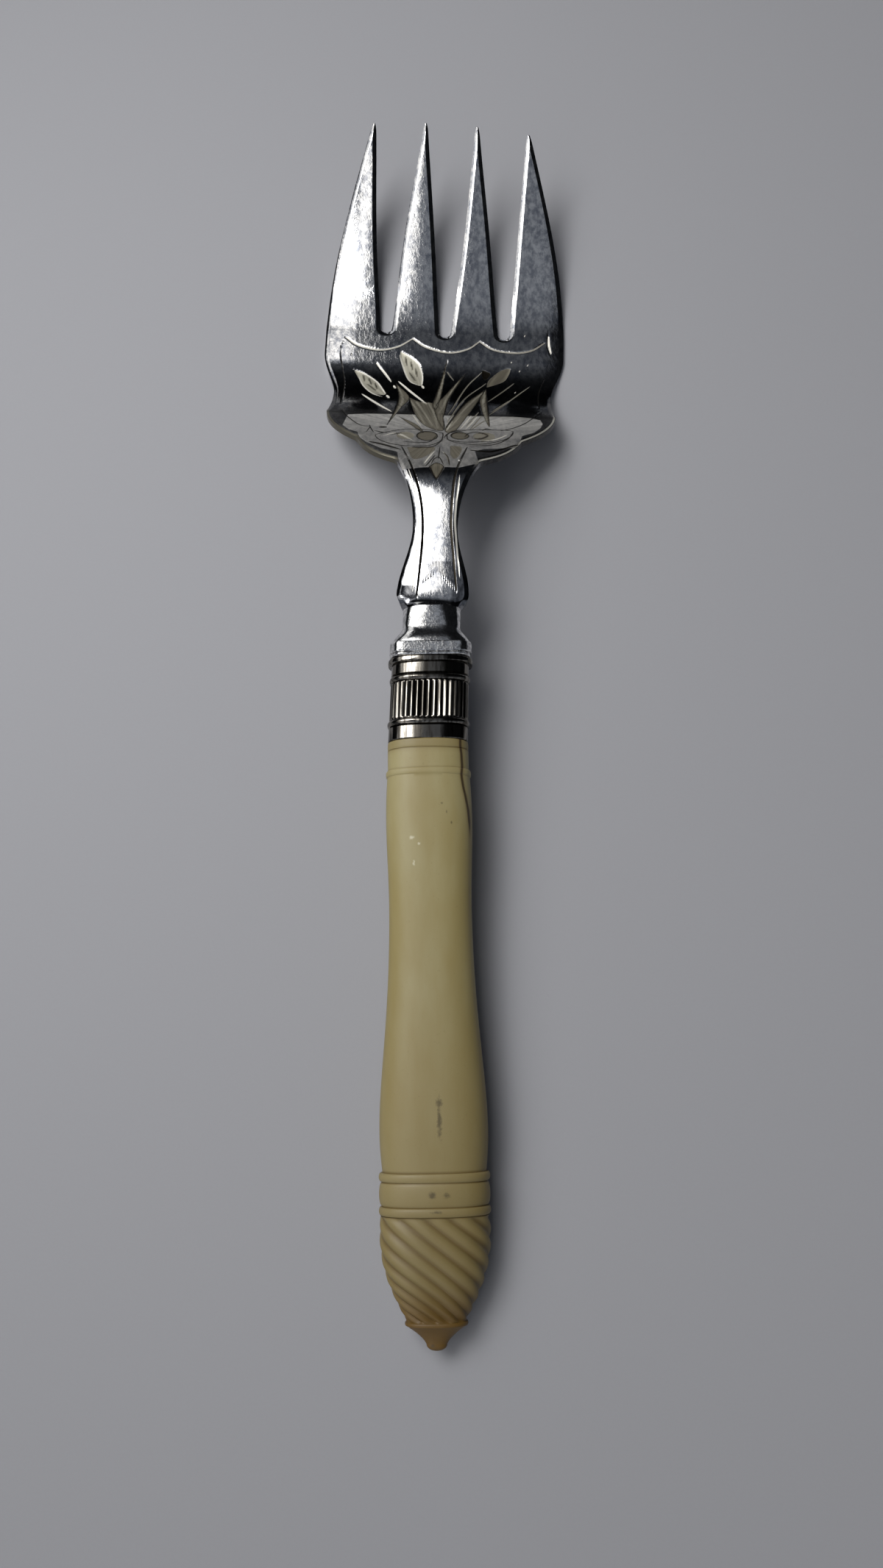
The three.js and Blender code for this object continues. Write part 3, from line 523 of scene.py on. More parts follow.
lower_plain_end, upper_plain_start = HANDLE_END + LOWER_PLAIN, FERRULE_END - UPPER_PLAIN
lower_bead = lower_plain_end + GROOVE_LENGTH
upper_bead = upper_plain_start - GROOVE_LENGTH - FERRULE_BEAD
reed_start = lower_bead + FERRULE_BEAD
ferrule_bead = (FERRULE_BEAD, -GROOVE_DEPTH, GROOVE_DEPTH + FERRULE_BEAD_RISE)
ferrule_profile = joined(
    [(HANDLE_END, -END_ROUND), (HANDLE_END + END_ROUND, 0)],
    sweep((HANDLE_END + END_ROUND + APART, 0), (lower_plain_end, 0), count=8),
    [(lower_plain_end + STEP_IN, -STEP_DEPTH)],
    bead(lower_bead, *ferrule_bead, count=16),
    sweep((reed_start + EASE_START, -EASE_DROP), (reed_start + EASE_END, 0), (.8, 0), count=4),
    sweep((reed_start + EASE_END + APART, 0), (upper_bead - EASE_END - APART, 0), count=14),
    sweep((upper_bead - EASE_END, 0), (upper_bead - EASE_START, -EASE_DROP), (0, -.8), count=4),
    bead(upper_bead, *ferrule_bead, count=16),
    [(upper_plain_start - STEP_IN, -STEP_DEPTH)],
    sweep((upper_plain_start, 0), (FERRULE_END - END_ROUND, 0), count=8),
    [(FERRULE_END, -END_ROUND)],
)
print("ferrule outline", len(ferrule_profile), "rows,", round(FERRULE_END - HANDLE_END, 1), "mm")

# %% reeds, bore and grime
REEDS, REED_COUNT, REED_DEPTH, REED_FADE = 36, 8, .3, .4
FULL_GRIME = .25

ferrule_station, raised = ferrule_profile.T
along_share = (ferrule_station - HANDLE_END) / (FERRULE_END - HANDLE_END)
ferrule_halves = FERRULE_HALF + (FERRULE_TOP_HALF - FERRULE_HALF) * along_share
round_ferrule = np.arange(REEDS * REED_COUNT) / (REEDS * REED_COUNT)
belt = (ramp(ferrule_station, reed_start, reed_start + REED_FADE)
        * ramp(ferrule_station, upper_bead, upper_bead - REED_FADE))
reeding = belt[:, None] * (1 - np.abs(np.cos(np.pi * round_ferrule * REEDS)))
ferrule_skin = loft(ferrule_station, ferrule_halves + raised, ferrule_halves * FLATNESS + raised,
                    FERRULE_POWER, round_ferrule, REED_DEPTH * reeding)
inner_half = np.full(2, FERRULE_TOP_HALF - FERRULE_WALL)
ferrule_bore = loft(np.array([FERRULE_END, HANDLE_END]), inner_half, inner_half * FLATNESS,
                    HANDLE_POWER, round_ferrule)
between_beads = ((ferrule_station > reed_start) & (ferrule_station < upper_bead))[:, None]
grime = np.where(between_beads, reeding, ramp(-raised, 0, FULL_GRIME)[:, None])
grime = np.concatenate([grime, np.ones(ferrule_bore.shape[:2])])
ferrule = write_piece("ferrule_reeded", *looped(ferrule_skin, ferrule_bore),
                      {"grime": grime.ravel()}, crease=50)

# %% [markdown]
# ## Cap
#
# The cap closes the ferrule: a flat oval plate, a little wider than the tube, with
# a rounded rim and a hole for the tang. It is the shortest loft of the four.

# %% cap
CAP_HALF, CAP_EDGE, CAP_POINTS = 8.5, .3, 144

rim_station, rim_half = bead(FERRULE_END, CAP_END - FERRULE_END, CAP_HALF - CAP_EDGE, CAP_EDGE,
                             count=14, power=2.6).T
round_cap = np.arange(CAP_POINTS) / CAP_POINTS
cap_rim = loft(rim_station, rim_half, rim_half * FLATNESS, FERRULE_POWER, round_cap)
cap_hole = loft(np.array([CAP_END, FERRULE_END]), np.full(2, BORE_HALF), np.full(2, BORE_DEPTH), 2,
                round_cap)
cap = write_piece("ferrule_cap_plate", *looped(cap_rim, cap_hole))

# %% [markdown]
# ## Bolster
#
# The bolster is a small casting. An eight-sided plinth stands on a thin base,
# and a cove leads from it to a barrel whose top is crowned. The eight sides are
# the greatest of three plane distances. Taking a high power of them instead of
# the greatest one rounds the corners a little, as polishing does.

# %% plinth
PLINTH_HALF, PLINTH_FACE, PLINTH_DEPTH = 8.2, 6.6, 5.0
CORNER_POWER = 30
BOLSTER_POINTS = 240


def eight_sided(angle, inset):
    """Distance to the sides: (sum of the three planes' terms^p)^(-1/p)."""
    across, up = np.abs(np.sin(angle)), np.abs(np.cos(angle))
    corner = (PLINTH_DEPTH - inset) + (PLINTH_HALF - inset) * PLINTH_FACE / PLINTH_HALF
    terms = [across / (PLINTH_HALF - inset), up / (PLINTH_DEPTH - inset), (across + up) / corner]
    return sum(term ** CORNER_POWER for term in terms) ** (-1 / CORNER_POWER)


round_bolster = np.linspace(0, 2 * np.pi, BOLSTER_POINTS, endpoint=False)[None, :]
# Stations and how far the sides lie inside the plinth's: round base, step, sides, chamfer.
insets = joined(
    [(CAP_END, .55)], bead(CAP_END + .02, .56, .5, -.28, count=8),
    [(CAP_END + .62, .45)], [(CAP_END + .72, .08)],
    sweep((CAP_END + .85, 0), (PLINTH_END - .15, 0), count=6),
    [(PLINTH_END - .03, .06)], [(PLINTH_END, .2)],
)
plinth = eight_sided(round_bolster, insets[:, 1:])
print("plinth", round(2 * PLINTH_HALF, 1), "by", round(2 * PLINTH_DEPTH, 1), "mm")

# %% cove and barrel
WAIST_HALF, WAIST_DEPTH, BARREL_CROWN = 5.9, 3.7, .3
WAIST_POWER, POWER_LOST = 3.4, .8
COVE_START, COVE_END = PLINTH_END + .02, 136.0
COVE_HALF, COVE_DEPTH = PLINTH_HALF - .25, PLINTH_DEPTH - .5
ROWS_EACH = 22

down_cove = np.linspace(0, 1, ROWS_EACH)[:, None]
flare = (1 + np.cos(np.pi * down_cove)) / 2
cove = section_reach(round_bolster, WAIST_HALF + (COVE_HALF - WAIST_HALF) * flare,
                     WAIST_DEPTH + (COVE_DEPTH - WAIST_DEPTH) * flare, WAIST_POWER)
along_barrel = np.linspace(.05, 1, ROWS_EACH)[:, None]
barrel = section_reach(round_bolster, WAIST_HALF,
                       WAIST_DEPTH + BARREL_CROWN * np.sin(np.pi / 2 * along_barrel),
                       WAIST_POWER - POWER_LOST * along_barrel)
bolster_stations = np.concatenate([
    insets[:, 0], COVE_START + (COVE_END - COVE_START) * down_cove[:, 0],
    COVE_END + (BOLSTER_END - COVE_END) * along_barrel[:, 0]])
bolster_reach = np.concatenate([plinth, cove, barrel])
bolster = write_piece(
    "bolster_cast", *capped(on_axis(bolster_stations, bolster_reach, round_bolster)))

# %% [markdown]
# ## Outline of the blade
#
# The blade is cut from sheet: a waisted neck, a heel with two scallops on each
# side, and four tines. Below the slots its outline is a row of sweeps; past the
# widest part it runs straight to the tips with a slight belly.

# %% outline from the foot to the widest part
FOOT, NECK_SWELL, NECK_WAIST = (0, 5.8), (3.0, 7.3), (17.0, 4.55)
SHOULDER, HEEL_NOTCH, SIDE_EAR, SIDE_HOLLOW = (32.4, 8.8), (39.6, 17.6), (49.3, 25.1), (55.6, 24.2)
half_outline = joined(
    sweep(FOOT, NECK_SWELL, (.6, 0)),
    sweep(NECK_SWELL, NECK_WAIST),
    sweep(NECK_WAIST, SHOULDER, (0, .55)),
    sweep(SHOULDER, HEEL_NOTCH, (3.2, .5), (.25, .4), count=80),
    sweep(HEEL_NOTCH, SIDE_EAR, (1.6, .1), count=80),
    sweep(SIDE_EAR, SIDE_HOLLOW, (-.35, 0)),
    sweep(SIDE_HOLLOW, (WIDEST_STATION, WIDEST)),
)
print("half outline", len(half_outline), "points, widest", round(half_outline[:, 1].max(), 2))

# %% edges of the tines
TIP_SPACING, TINE_TIP_WIDTH = 11.5, .8
TAPER_LENGTH, TIP_END_SHARE = 1.6, .25
OUTER_BELLY = 2.5
SLOT_BELLIES = [(-.5, .9), (.25, -.3), (.4, 0)]
TINES, SLOTS = range(4), range(3)
TIP_CENTRES = (np.arange(4) - 1.5) * TIP_SPACING
SLOT_CENTRES = (np.arange(3) - 1) * SLOT_CENTRE


def outer_edge(station):
    """Half-width: the sweeps, then a straight line to the tips plus belly * sin."""
    out = np.clip((station - WIDEST_STATION) / (HEAD_LENGTH - WIDEST_STATION), 0, 1)
    last = TIP_CENTRES[-1] + TINE_TIP_WIDTH / 2
    tine = WIDEST + (last - WIDEST) * out + OUTER_BELLY * np.sin(np.pi * out ** .9)
    return np.where(station < WIDEST_STATION, np.interp(station, *half_outline.T), tine)


def tine_edge(tine, side, station):
    """One edge of a tine: the blade's own, or root to tip in a line plus belly * sin^1.5."""
    if (tine, side) in ((0, -1), (3, 1)):
        return side * outer_edge(station)
    slot = tine - (side < 0)
    root = SLOT_CENTRES[slot] - side * SLOT_RADIUS
    tip = TIP_CENTRES[tine] + side * TINE_TIP_WIDTH / 2
    swell = np.maximum(0, np.sin(np.pi * tine_share(station))) ** 1.5
    belly = SLOT_BELLIES[slot][int(side < 0)]
    return root + (tip - root) * tine_share(station) + side * belly * swell


def tine_edges(tine, station):
    """Left and right edge of one tine, drawn in to a rounded point at its tip."""
    left, right = tine_edge(tine, -1, station), tine_edge(tine, 1, station)
    to_tip = np.clip((HEAD_LENGTH - station) / TAPER_LENGTH, 0, 1)
    taper = TIP_END_SHARE + (1 - TIP_END_SHARE) * (1 - (1 - to_tip) ** 2) ** .5
    middle, half = (left + right) / 2, (right - left) / 2 * taper
    return middle - half, middle + half


halfway = (SPRING_STATION + HEAD_LENGTH) / 2
widths = [round(float(np.diff(tine_edges(tine, halfway))[0]), 1) for tine in TINES]
print("tines halfway up are", widths, "mm wide")

# %% [markdown]
# ## Grid of the blade
#
# The sheet is one grid. Its columns run from foot to tips and keep clear of the
# slots, and four columns along each edge carry the bevel. Rows are close where
# the engraving is. The row at the slot roots dips in a half circle at each slot.
# The underside shows little, so it takes only every fourth row and column, and
# the walls between have faces with five points above and two below.

# %% columns, and the row at the slot roots
OUTER_CELLS, INNER_CELLS, SLOT_CELLS, BEVEL_CELLS, STEP = 60, 52, 16, 4, 4
BEVEL_WIDTH, BEVEL_DROP, BEVEL_SHARE = .9, .4, .35
TINE_CELLS = [OUTER_CELLS, INNER_CELLS, INNER_CELLS, OUTER_CELLS]
SEAMS = np.cumsum([0, OUTER_CELLS, SLOT_CELLS, INNER_CELLS, SLOT_CELLS, INNER_CELLS, SLOT_CELLS,
                   OUTER_CELLS])


def spread_tine(tine, station):
    """Columns of one tine at some stations: a few in each bevel and even ones between."""
    left, right = [edge[:, None] for edge in tine_edges(tine, station)]
    bevel = np.minimum(BEVEL_WIDTH, (right - left) * BEVEL_SHARE)
    steps = np.linspace(0, 1, BEVEL_CELLS + 1)
    even_shares = np.linspace(0, 1, TINE_CELLS[tine] - 2 * BEVEL_CELLS + 1)
    inner_left, inner_right = left + bevel, right - bevel
    return np.concatenate([left + (inner_left - left) * steps[:-1],
                           inner_left + (inner_right - inner_left) * even_shares,
                           inner_right + (right - inner_right) * steps[1:]], axis=1)


half_circle = np.pi * np.arange(1, SLOT_CELLS) / SLOT_CELLS
root_across, root_station = [], []
for tine in TINES:
    columns = spread_tine(tine, np.full(1, SPRING_STATION))[0]
    root_across.append(columns)
    root_station.append(np.full(columns.size, SPRING_STATION))
    # A slot follows each tine but the last.
    if tine in SLOTS:
        root_across.append(SLOT_CENTRES[tine] - SLOT_RADIUS * np.cos(half_circle))
        root_station.append(SPRING_STATION - SLOT_RADIUS * np.sin(half_circle))
root_across, root_station = np.concatenate(root_across), np.concatenate(root_station)
print("columns", len(root_across), "with seams at", SEAMS.tolist())

# %% rows from the foot to the slot roots
ROOT_ROWS = 28
FOOT_END, NECK_END = 3, 27

body_stations = np.unique(np.concatenate([
    np.linspace(0, FOOT_END, 9), np.linspace(FOOT_END, NECK_END, 61),
    np.linspace(NECK_END, WIDEST_STATION, 177)]))
edge_slope = np.gradient(half_outline[:, 1], half_outline[:, 0])
body_half = outer_edge(body_stations)[:, None]
bevel_across = BEVEL_WIDTH * np.hypot(1, np.interp(body_stations, half_outline[:, 0], edge_slope))
body_bevel = np.minimum(bevel_across[:, None], body_half * BEVEL_SHARE)
inner_shares = root_across[BEVEL_CELLS:-BEVEL_CELLS] / root_across[-BEVEL_CELLS - 1]
bevel_columns = body_half - body_bevel + body_bevel * np.linspace(0, 1, BEVEL_CELLS + 1)[1:]
body_across = np.concatenate([-bevel_columns[:, ::-1], (body_half - body_bevel) * inner_shares,
                              bevel_columns], axis=1)
body_station = body_stations[:, None] + 0 * body_across
to_root = (np.arange(1, ROOT_ROWS + 1) / ROOT_ROWS)[:, None]
near_root_across = body_across[-1] + (root_across - body_across[-1]) * to_root
near_root_station = body_station[-1] + (root_station - body_station[-1]) * to_root
print("body rows", len(body_stations), "and", ROOT_ROWS, "more to the slot roots")

# %% rows of the tines
TINE_ROWS, TIP_ROWS = 44, 12
TIP_SLANT, INNER_REACH = .035, .7

tine_stations = np.concatenate([
    np.linspace(SPRING_STATION, HEAD_LENGTH - TAPER_LENGTH, TINE_ROWS + 1)[1:],
    HEAD_LENGTH - TAPER_LENGTH * (1 - np.arange(1, TIP_ROWS + 1) / TIP_ROWS) ** 1.6])
slot_gap = np.full((len(tine_stations), SLOT_CELLS - 1), np.nan)
tine_across, tine_station = [], []
for tine in TINES:
    columns = spread_tine(tine, tine_stations)
    # The inner tines reach a little farther, and the tips stand on a slant.
    drawn = INNER_REACH * (tine in (1, 2)) - TIP_CENTRES[tine] * TIP_SLANT
    reach = drawn * tine_share(tine_stations)
    tine_across.append(columns)
    tine_station.append((tine_stations + reach)[:, None] + 0 * columns)
    if tine in SLOTS:
        tine_across.append(slot_gap)
        tine_station.append(slot_gap)
across = np.concatenate([body_across, near_root_across, np.concatenate(tine_across, axis=1)])
station = np.concatenate([body_station, near_root_station, np.concatenate(tine_station, axis=1)])
solid = ~np.isnan(across)
ROOT_ROW = len(body_stations) + ROOT_ROWS - 1
print("blade grid", across.shape, "root row", ROOT_ROW)

# %% [markdown]
# ## Distance to the edge
#
# The bevel falls away from the face within a fixed distance of the edge. For the
# scalloped heel that distance is found against points of the outline, round a
# slot against its circle, and on a tine against its sides and its tip.

# %% distances on the grid
FAR_FROM_EDGE, EDGE_REACH, PAST_ROOT = 9.0, 6, 3
TIP_WEIGHT, CLOSE = .8, .001

past_widest = np.linspace(WIDEST_STATION, SPRING_STATION + PAST_ROOT, 40)
whole_outline = np.concatenate([
    half_outline, np.column_stack([past_widest, outer_edge(past_widest)])])


def outline_distance(across, station):
    """Least distance to the sampled outline of the head, in slices."""
    result = np.empty(across.size)
    for part in np.array_split(np.arange(across.size), max(1, across.size // 4000)):
        gaps = np.hypot(station[part, None] - whole_outline[:, 0],
                        np.abs(across[part, None]) - whole_outline[:, 1])
        result[part] = gaps.min(axis=1)
    return result


def columns_of(tine):
    """The grid's columns that one tine takes."""
    return slice(SEAMS[2 * tine], SEAMS[2 * tine + 1] + 1)


edge = np.full(across.shape, FAR_FROM_EDGE)
in_body = np.arange(len(across))[:, None] <= ROOT_ROW
within = outer_edge(np.where(solid, station, 0)) - np.abs(np.nan_to_num(across))
near_edge = in_body & (within < EDGE_REACH)
near_edge[0] = False
edge[near_edge] = outline_distance(across[near_edge], station[near_edge])
edge[:ROOT_ROW + 1, [0, -1]] = 0
below_root = in_body & (station < SPRING_STATION + CLOSE)
for centre in SLOT_CENTRES:
    to_slot = np.hypot(across - centre, station - SPRING_STATION) - SLOT_RADIUS
    to_slot = np.nan_to_num(np.maximum(to_slot, 0), nan=FAR_FROM_EDGE)
    edge = np.where(below_root, np.minimum(edge, to_slot), edge)
to_tip = HEAD_LENGTH - np.concatenate([[SPRING_STATION], tine_stations])[:, None]
for tine in TINES:
    block = across[ROOT_ROW:, columns_of(tine)]
    sides = np.minimum(block - block[:, :1], block[:, -1:] - block)
    edge[ROOT_ROW:, columns_of(tine)] = np.minimum(sides, to_tip * TIP_WEIGHT)
edge = np.where(solid, edge, 0)
print("points on the bevel:", int((solid & (edge < BEVEL_WIDTH)).sum()), "of", int(solid.sum()))

# %% [markdown]
# On the real fork the slots don't all end level. The stations round each root are
# moved up by a bell curve, most at the left one, which stops short of the others.

# %% uneven slot roots
ROOT_RISE, BELL_WIDTH = (1.3, .5, .3), 3.5
MOVING_FROM, MOVING_TO = (62, 72), (92, 74)

moving = ramp(station, *MOVING_FROM) * ramp(station, *MOVING_TO)
for centre, up in zip(SLOT_CENTRES, ROOT_RISE):
    station = station + up * moving * np.exp(-((across - centre) / BELL_WIDTH) ** 2)
print("slot roots moved up by", ROOT_RISE, "mm")

# %% [markdown]
# ## Engraving
#
# The pattern is bright-cut: the graver is held at an angle, so every cut has one
# broad polished side and one steep one. Reeds and grasses fan out from a ribbon
# tied in a bow, and three swags hang under the slots. Each mark is a smooth curve
# through a few points picked on the photograph. Inside its width the
# surface drops, and its signed distance goes to the finish, which colours it.

# %% the pattern, in pixels of the photograph
SWAGS = [
    [(469.5, 458), (487, 469.5), (515, 475.5), (540, 471.5), (560, 461)],
    [(560, 460), (580, 472.5), (610, 479.5), (635, 475), (651, 465)],
    [(651, 464), (670, 475.5), (698, 480), (722, 477), (740, 466.5)],
]
SLASHES = [
    [(511, 493), (523, 507.5), (532, 519.5)], [(541, 518), (555, 530), (579, 548.5)],
    [(491, 535), (513, 549), (533, 560)], [(525, 537), (529, 541)], [(573, 524), (576, 528)],
    [(535, 524), (537.5, 528)], [(745.5, 457), (746, 470), (749, 482)],
]
EAR_RIMS = [
    [(479, 502), (495, 508), (513, 520), (524, 536)],
    [(487, 510), (493, 523), (505, 534), (520, 539.5)],
    [(543, 477), (558, 486), (569, 496), (574, 511), (573, 524)],
    [(543, 481), (546, 493), (556, 517), (571, 524.5)],
]
EARS = [
    [(481, 503.5), (495, 508), (513, 520), (524, 536), (505, 534), (493, 523)],
    [(543.5, 478), (558, 486), (569, 496), (574, 511), (572.5, 524.5), (556, 517), (546, 493)],
]
DIM_EARS = [[(661, 527), (664.5, 517), (680, 504.5), (693.5, 502), (687, 517), (675, 523)]]
LEAVES = [
    [(538, 521), (542, 540), (537, 557), (526, 577), (532, 570), (545, 554), (556, 540)],
    [(556, 540), (570, 546), (589.5, 548.5), (600, 560), (603, 584.5), (580, 580), (565, 565)],
    [(608, 488), (595, 530), (588, 550), (593, 556), (600, 535)],
    [(632, 508), (608, 534), (591, 556), (603, 583.5), (603, 566), (611, 541)],
    [(659, 530), (630, 551), (605, 583), (617, 587), (637, 563)],
    [(660.5, 529), (652, 545), (660, 572), (665.5, 579), (662, 550)],
    [(542, 566), (556, 576), (575, 588), (566.5, 577.5)],
]
VEINS = [
    [(608, 488), (597.5, 532), (591.5, 554)], [(632, 508), (610.5, 537), (597, 561)],
    [(659, 530), (634, 554), (611, 582)], [(660.5, 529), (656.5, 550), (662, 574)],
    [(538, 521), (547, 543), (534.5, 568)], [(566, 546), (578, 562.5), (587, 579)],
    [(582, 548), (591, 565), (594.5, 582)], [(558, 545), (569, 561.5), (577, 576.5)],
]
STEMS = [
    [(656, 505), (632, 529), (608, 565)], [(661, 521), (630, 544), (607, 575)],
    [(699, 521), (680, 535), (662, 547)], [(721, 525), (700, 540), (662, 566)],
    [(692, 545), (668, 560)], [(651, 560), (642, 570), (633, 580)], [(655, 565), (638, 585)],
    [(660, 571), (641, 584)], [(607, 505), (612, 512), (617, 518)],
]
LINES = [
    [(468, 459.5), (463, 475), (465.5, 500), (468, 522), (462, 553)],
    [(462, 553), (470, 564), (488, 577), (503, 579.5)], [(740, 515), (732, 535), (732, 556)],
    [(733, 562), (715, 575), (698, 582), (680, 586)],
    [(538, 521), (542, 540), (537, 557), (526, 577)], [(608, 488), (595, 530), (588, 550)],
    [(632, 508), (611, 541), (603, 566)], [(659, 530), (630, 551), (605, 583)],
    [(660.5, 529), (662, 550), (665.5, 579)],
    [(603, 597), (590, 606.5), (575, 608), (560, 608)],
    [(593, 592), (585, 600), (570, 601.5), (545, 600)],
    [(603, 596), (608, 590), (618, 587), (632, 586)], [(606, 597), (630, 601), (672, 600)],
    [(633, 606), (668, 605), (690, 597), (698, 586)], [(655, 586), (661, 583), (672, 585)],
    [(502, 577), (504, 582), (508, 588)], [(503, 580), (497, 588)],
    [(508, 585), (523, 588), (528, 586)], [(545, 588), (532, 591)],
    [(584, 634), (593, 650), (604, 633)], [(598, 607), (597, 615), (595.5, 624)],
    [(592, 618), (580, 632), (574, 633)], [(586, 631), (590, 624), (597, 622), (603, 632)],
    [(604, 616), (609, 622), (611, 633)], [(592, 779.5), (571, 794)], [(598, 782), (618, 801)],
]
BOLD_LINES = [
    [(501, 600), (518, 603.5), (545, 611)], [(639, 612), (670, 614), (705, 604)],
    [(515, 580.5), (526, 580.5)],
]
NECK_LINES = [
    [(546, 607), (561, 638), (572, 680), (574, 730), (566, 812)],
    [(635, 608), (619, 645), (613.5, 700), (614, 730), (620.5, 804)],
]
NECK_PANELS = [
    [(553, 608), (562, 624), (583, 618), (590, 608)],
    [(612, 606), (627, 608), (625, 618), (618, 624), (612, 618)],
]
DARK_LEAF = [(655, 503), (661, 505), (667, 509), (660, 517), (655, 512)]
NICKS = [(717, 497), (706, 505), (695, 493), (713, 457), (700, 534), (478, 482)]
EYES = [(580.5, 592.5), (551, 592), (625, 592.5), (658, 593.5)]
EYE_HALVES = [(2.2, 1.7), (1.9, 1.3), (1.9, 1.3), (2.4, 1.5)]
HATCH_TOP, HATCH_FOOT = 9.8, [(571, 794), (595, 777.5), (618, 801)]
print("eyes", len(EYES), "nicks", len(NICKS), "leaves", len(LEAVES), "stems", len(STEMS))
print("lines", len(LINES) + len(BOLD_LINES), "swags", len(SWAGS))

# %% [markdown]
# The heel is crowded, so its marks were picked on an enlargement of it. Its top
# left corner in the photograph and how many times it is enlarged lead back.

# %% the heel's marks, in pixels of an enlargement
HEEL_CORNER, HEEL_TIMES = (440, 380), 4.126
CUP = [(590, 1050), (610, 1090), (632, 1118), (655, 1090), (672, 1050), (631, 1028)]
BOW_LOOPS = [
    [(668, 862), (600, 845), (520, 839), (430, 842), (340, 858), (290, 872), (320, 902),
     (400, 925), (500, 934), (600, 928), (655, 905), (668, 880)],
    [(690, 872), (730, 849), (800, 845), (880, 842), (970, 844), (1049, 849), (1060, 868),
     (1024, 895), (950, 915), (850, 925), (760, 918), (700, 900)],
]
PALE_CUTS = [
    [(495, 752), (520, 790), (550, 830)], [(690, 770), (700, 800), (680, 835)],
    [(730, 755), (712, 800), (690, 845)], [(830, 760), (800, 800), (760, 845)],
    [(865, 765), (830, 805), (790, 845)], [(313, 881), (410, 862), (511, 908)],
    [(1034, 870), (961, 898), (869, 909)], [(560, 1035), (600, 985), (625, 960)],
    [(705, 1040), (690, 990), (660, 960)],
]
FROST = [
    (135, 757), (240, 752), (400, 755), (657, 762), (930, 768), (1060, 770), (1160, 778),
    (1215, 790), (1228, 812), (1215, 835), (1180, 860), (1113, 878), (1105, 900), (1079, 941),
    (1025, 948), (902, 950), (847, 964), (870, 1030), (760, 1055), (640, 1050), (540, 1055),
    (440, 1065), (422, 1020), (411, 965), (320, 945), (244, 914), (201, 885), (190, 855),
    (140, 840), (105, 815),
]
print("pale cuts", len(PALE_CUTS), "points round the frost", len(FROST))

# %% [markdown]
# A few marks are too small or too dim to pick in the photograph. They are given
# on the head itself, in millimetres across and along it. The two points of a
# nick are measured from its middle.

# %% small marks placed on the head
EAR_TICKS = [
    [(-18.0, 61.2), (-17.6, 59.6)], [(-16.6, 60.3), (-16.0, 58.6)], [(-15.2, 59.1), (-14.6, 57.3)],
    [(-16.8, 58.6), (-14.9, 56.8)], [(-8.6, 66.4), (-8.3, 64.4)], [(-7.4, 65.2), (-6.9, 63.2)],
    [(-6.3, 63.5), (-5.8, 61.4)], [(-7.6, 62.4), (-6.2, 60.2)],
]
CURL = [(5.4, 40.6), (6.2, 41.9), (8.3, 42.4), (10.2, 41.4), (9.0, 40.2), (7.2, 39.9), (6.9, 40.9)]
GLINTS = [
    [(-6.0, 29.6), (-3.9, 22.4), (-3.3, 14.7), (-3.9, 6.2), (-4.1, 3.4)],
    [(4.6, 28.4), (4.0, 19.5), (4.3, 14.9), (5.3, 6.4)],
]
NICK = np.array([(-.15, -.25), (.15, .25)])
print("ticks", len(EAR_TICKS), "glints", len(GLINTS))

# %% from the photograph to the head
COS_LEAN, SIN_LEAN = math.cos(HEAD_LEAN), math.sin(HEAD_LEAN)
HEAD_X = float(axis_across(np.array(BOLSTER_END)))
HEAD_Y = TIP_Y + BOLSTER_END


def head_place(x, y):
    """Across and along the head, which leans to the right of the handle."""
    aside, ahead = x - HEAD_X, y - HEAD_Y
    return aside * COS_LEAN - ahead * SIN_LEAN, aside * SIN_LEAN + ahead * COS_LEAN


def on_blade(pixels):
    """Millimetres across and along the head for pixels of the photograph."""
    return met(pixels, head_place, lambda across, station: blade_height(station))


def on_enlarged_heel(pixels):
    """The same for pixels of the enlargement: corner + pixel / times."""
    return on_blade(np.array(pixels) / HEEL_TIMES + HEEL_CORNER)


print("the eyes lie at", np.round(on_blade(EYES), 1).tolist())

# %% curves and their distances
def smooth_path(points, count=12):
    """Catmull-Rom curve through the points: each stretch leaves along its neighbours."""
    p = np.asarray(points, float)
    p = np.concatenate([[2 * p[0] - p[1]], p, [2 * p[-1] - p[-2]]])
    t = np.linspace(0, 1, count, endpoint=False)[:, None, None]
    a, b, c, d = p[:-3], p[1:-2], p[2:-1], p[3:]
    curve = .5 * (2 * b + (c - a) * t + (2 * a - 5 * b + 4 * c - d) * t ** 2
                  + (3 * b - a - 3 * c + d) * t ** 3)
    return np.concatenate([curve.transpose(1, 0, 2).reshape(-1, 2), p[-2:-1]])


def path_offset(path, x, y):
    """Distance from points to a path, the side they lie on, and their share along it."""
    start, step = path[:-1], np.diff(path, axis=0)
    length = np.hypot(*step.T)
    dx, dy = x[:, None] - start[:, 0], y[:, None] - start[:, 1]
    t = np.clip((dx * step[:, 0] + dy * step[:, 1]) / length ** 2, 0, 1)
    gap = np.hypot(dx - t * step[:, 0], dy - t * step[:, 1])
    nearest = gap.argmin(axis=1)
    pick = np.arange(x.size), nearest
    side = np.sign(step[nearest, 0] * dy[pick] - step[nearest, 1] * dx[pick])
    walked = np.concatenate([[0], np.cumsum(length)])
    return gap[pick], side, (walked[nearest] + t[pick] * length[nearest]) / walked[-1]


def inside_shape(path, x, y):
    """Distance to a closed path, positive inside it (even-odd count of crossings)."""
    loop = np.concatenate([path, path[:1]])
    gap = path_offset(loop, x, y)[0]
    (x0, y0), (x1, y1) = loop[:-1].T, loop[1:].T
    spans = (y0 > y[:, None]) != (y1 > y[:, None])
    crossing = x0 + (y[:, None] - y0) / np.where(y1 == y0, 1e-9, y1 - y0) * (x1 - x0)
    odd = (spans & (x[:, None] < crossing)).sum(axis=1) % 2
    return np.where(odd == 1, gap, -gap)


print("the left swag has", len(smooth_path(SWAGS[0])), "points once it is smooth")

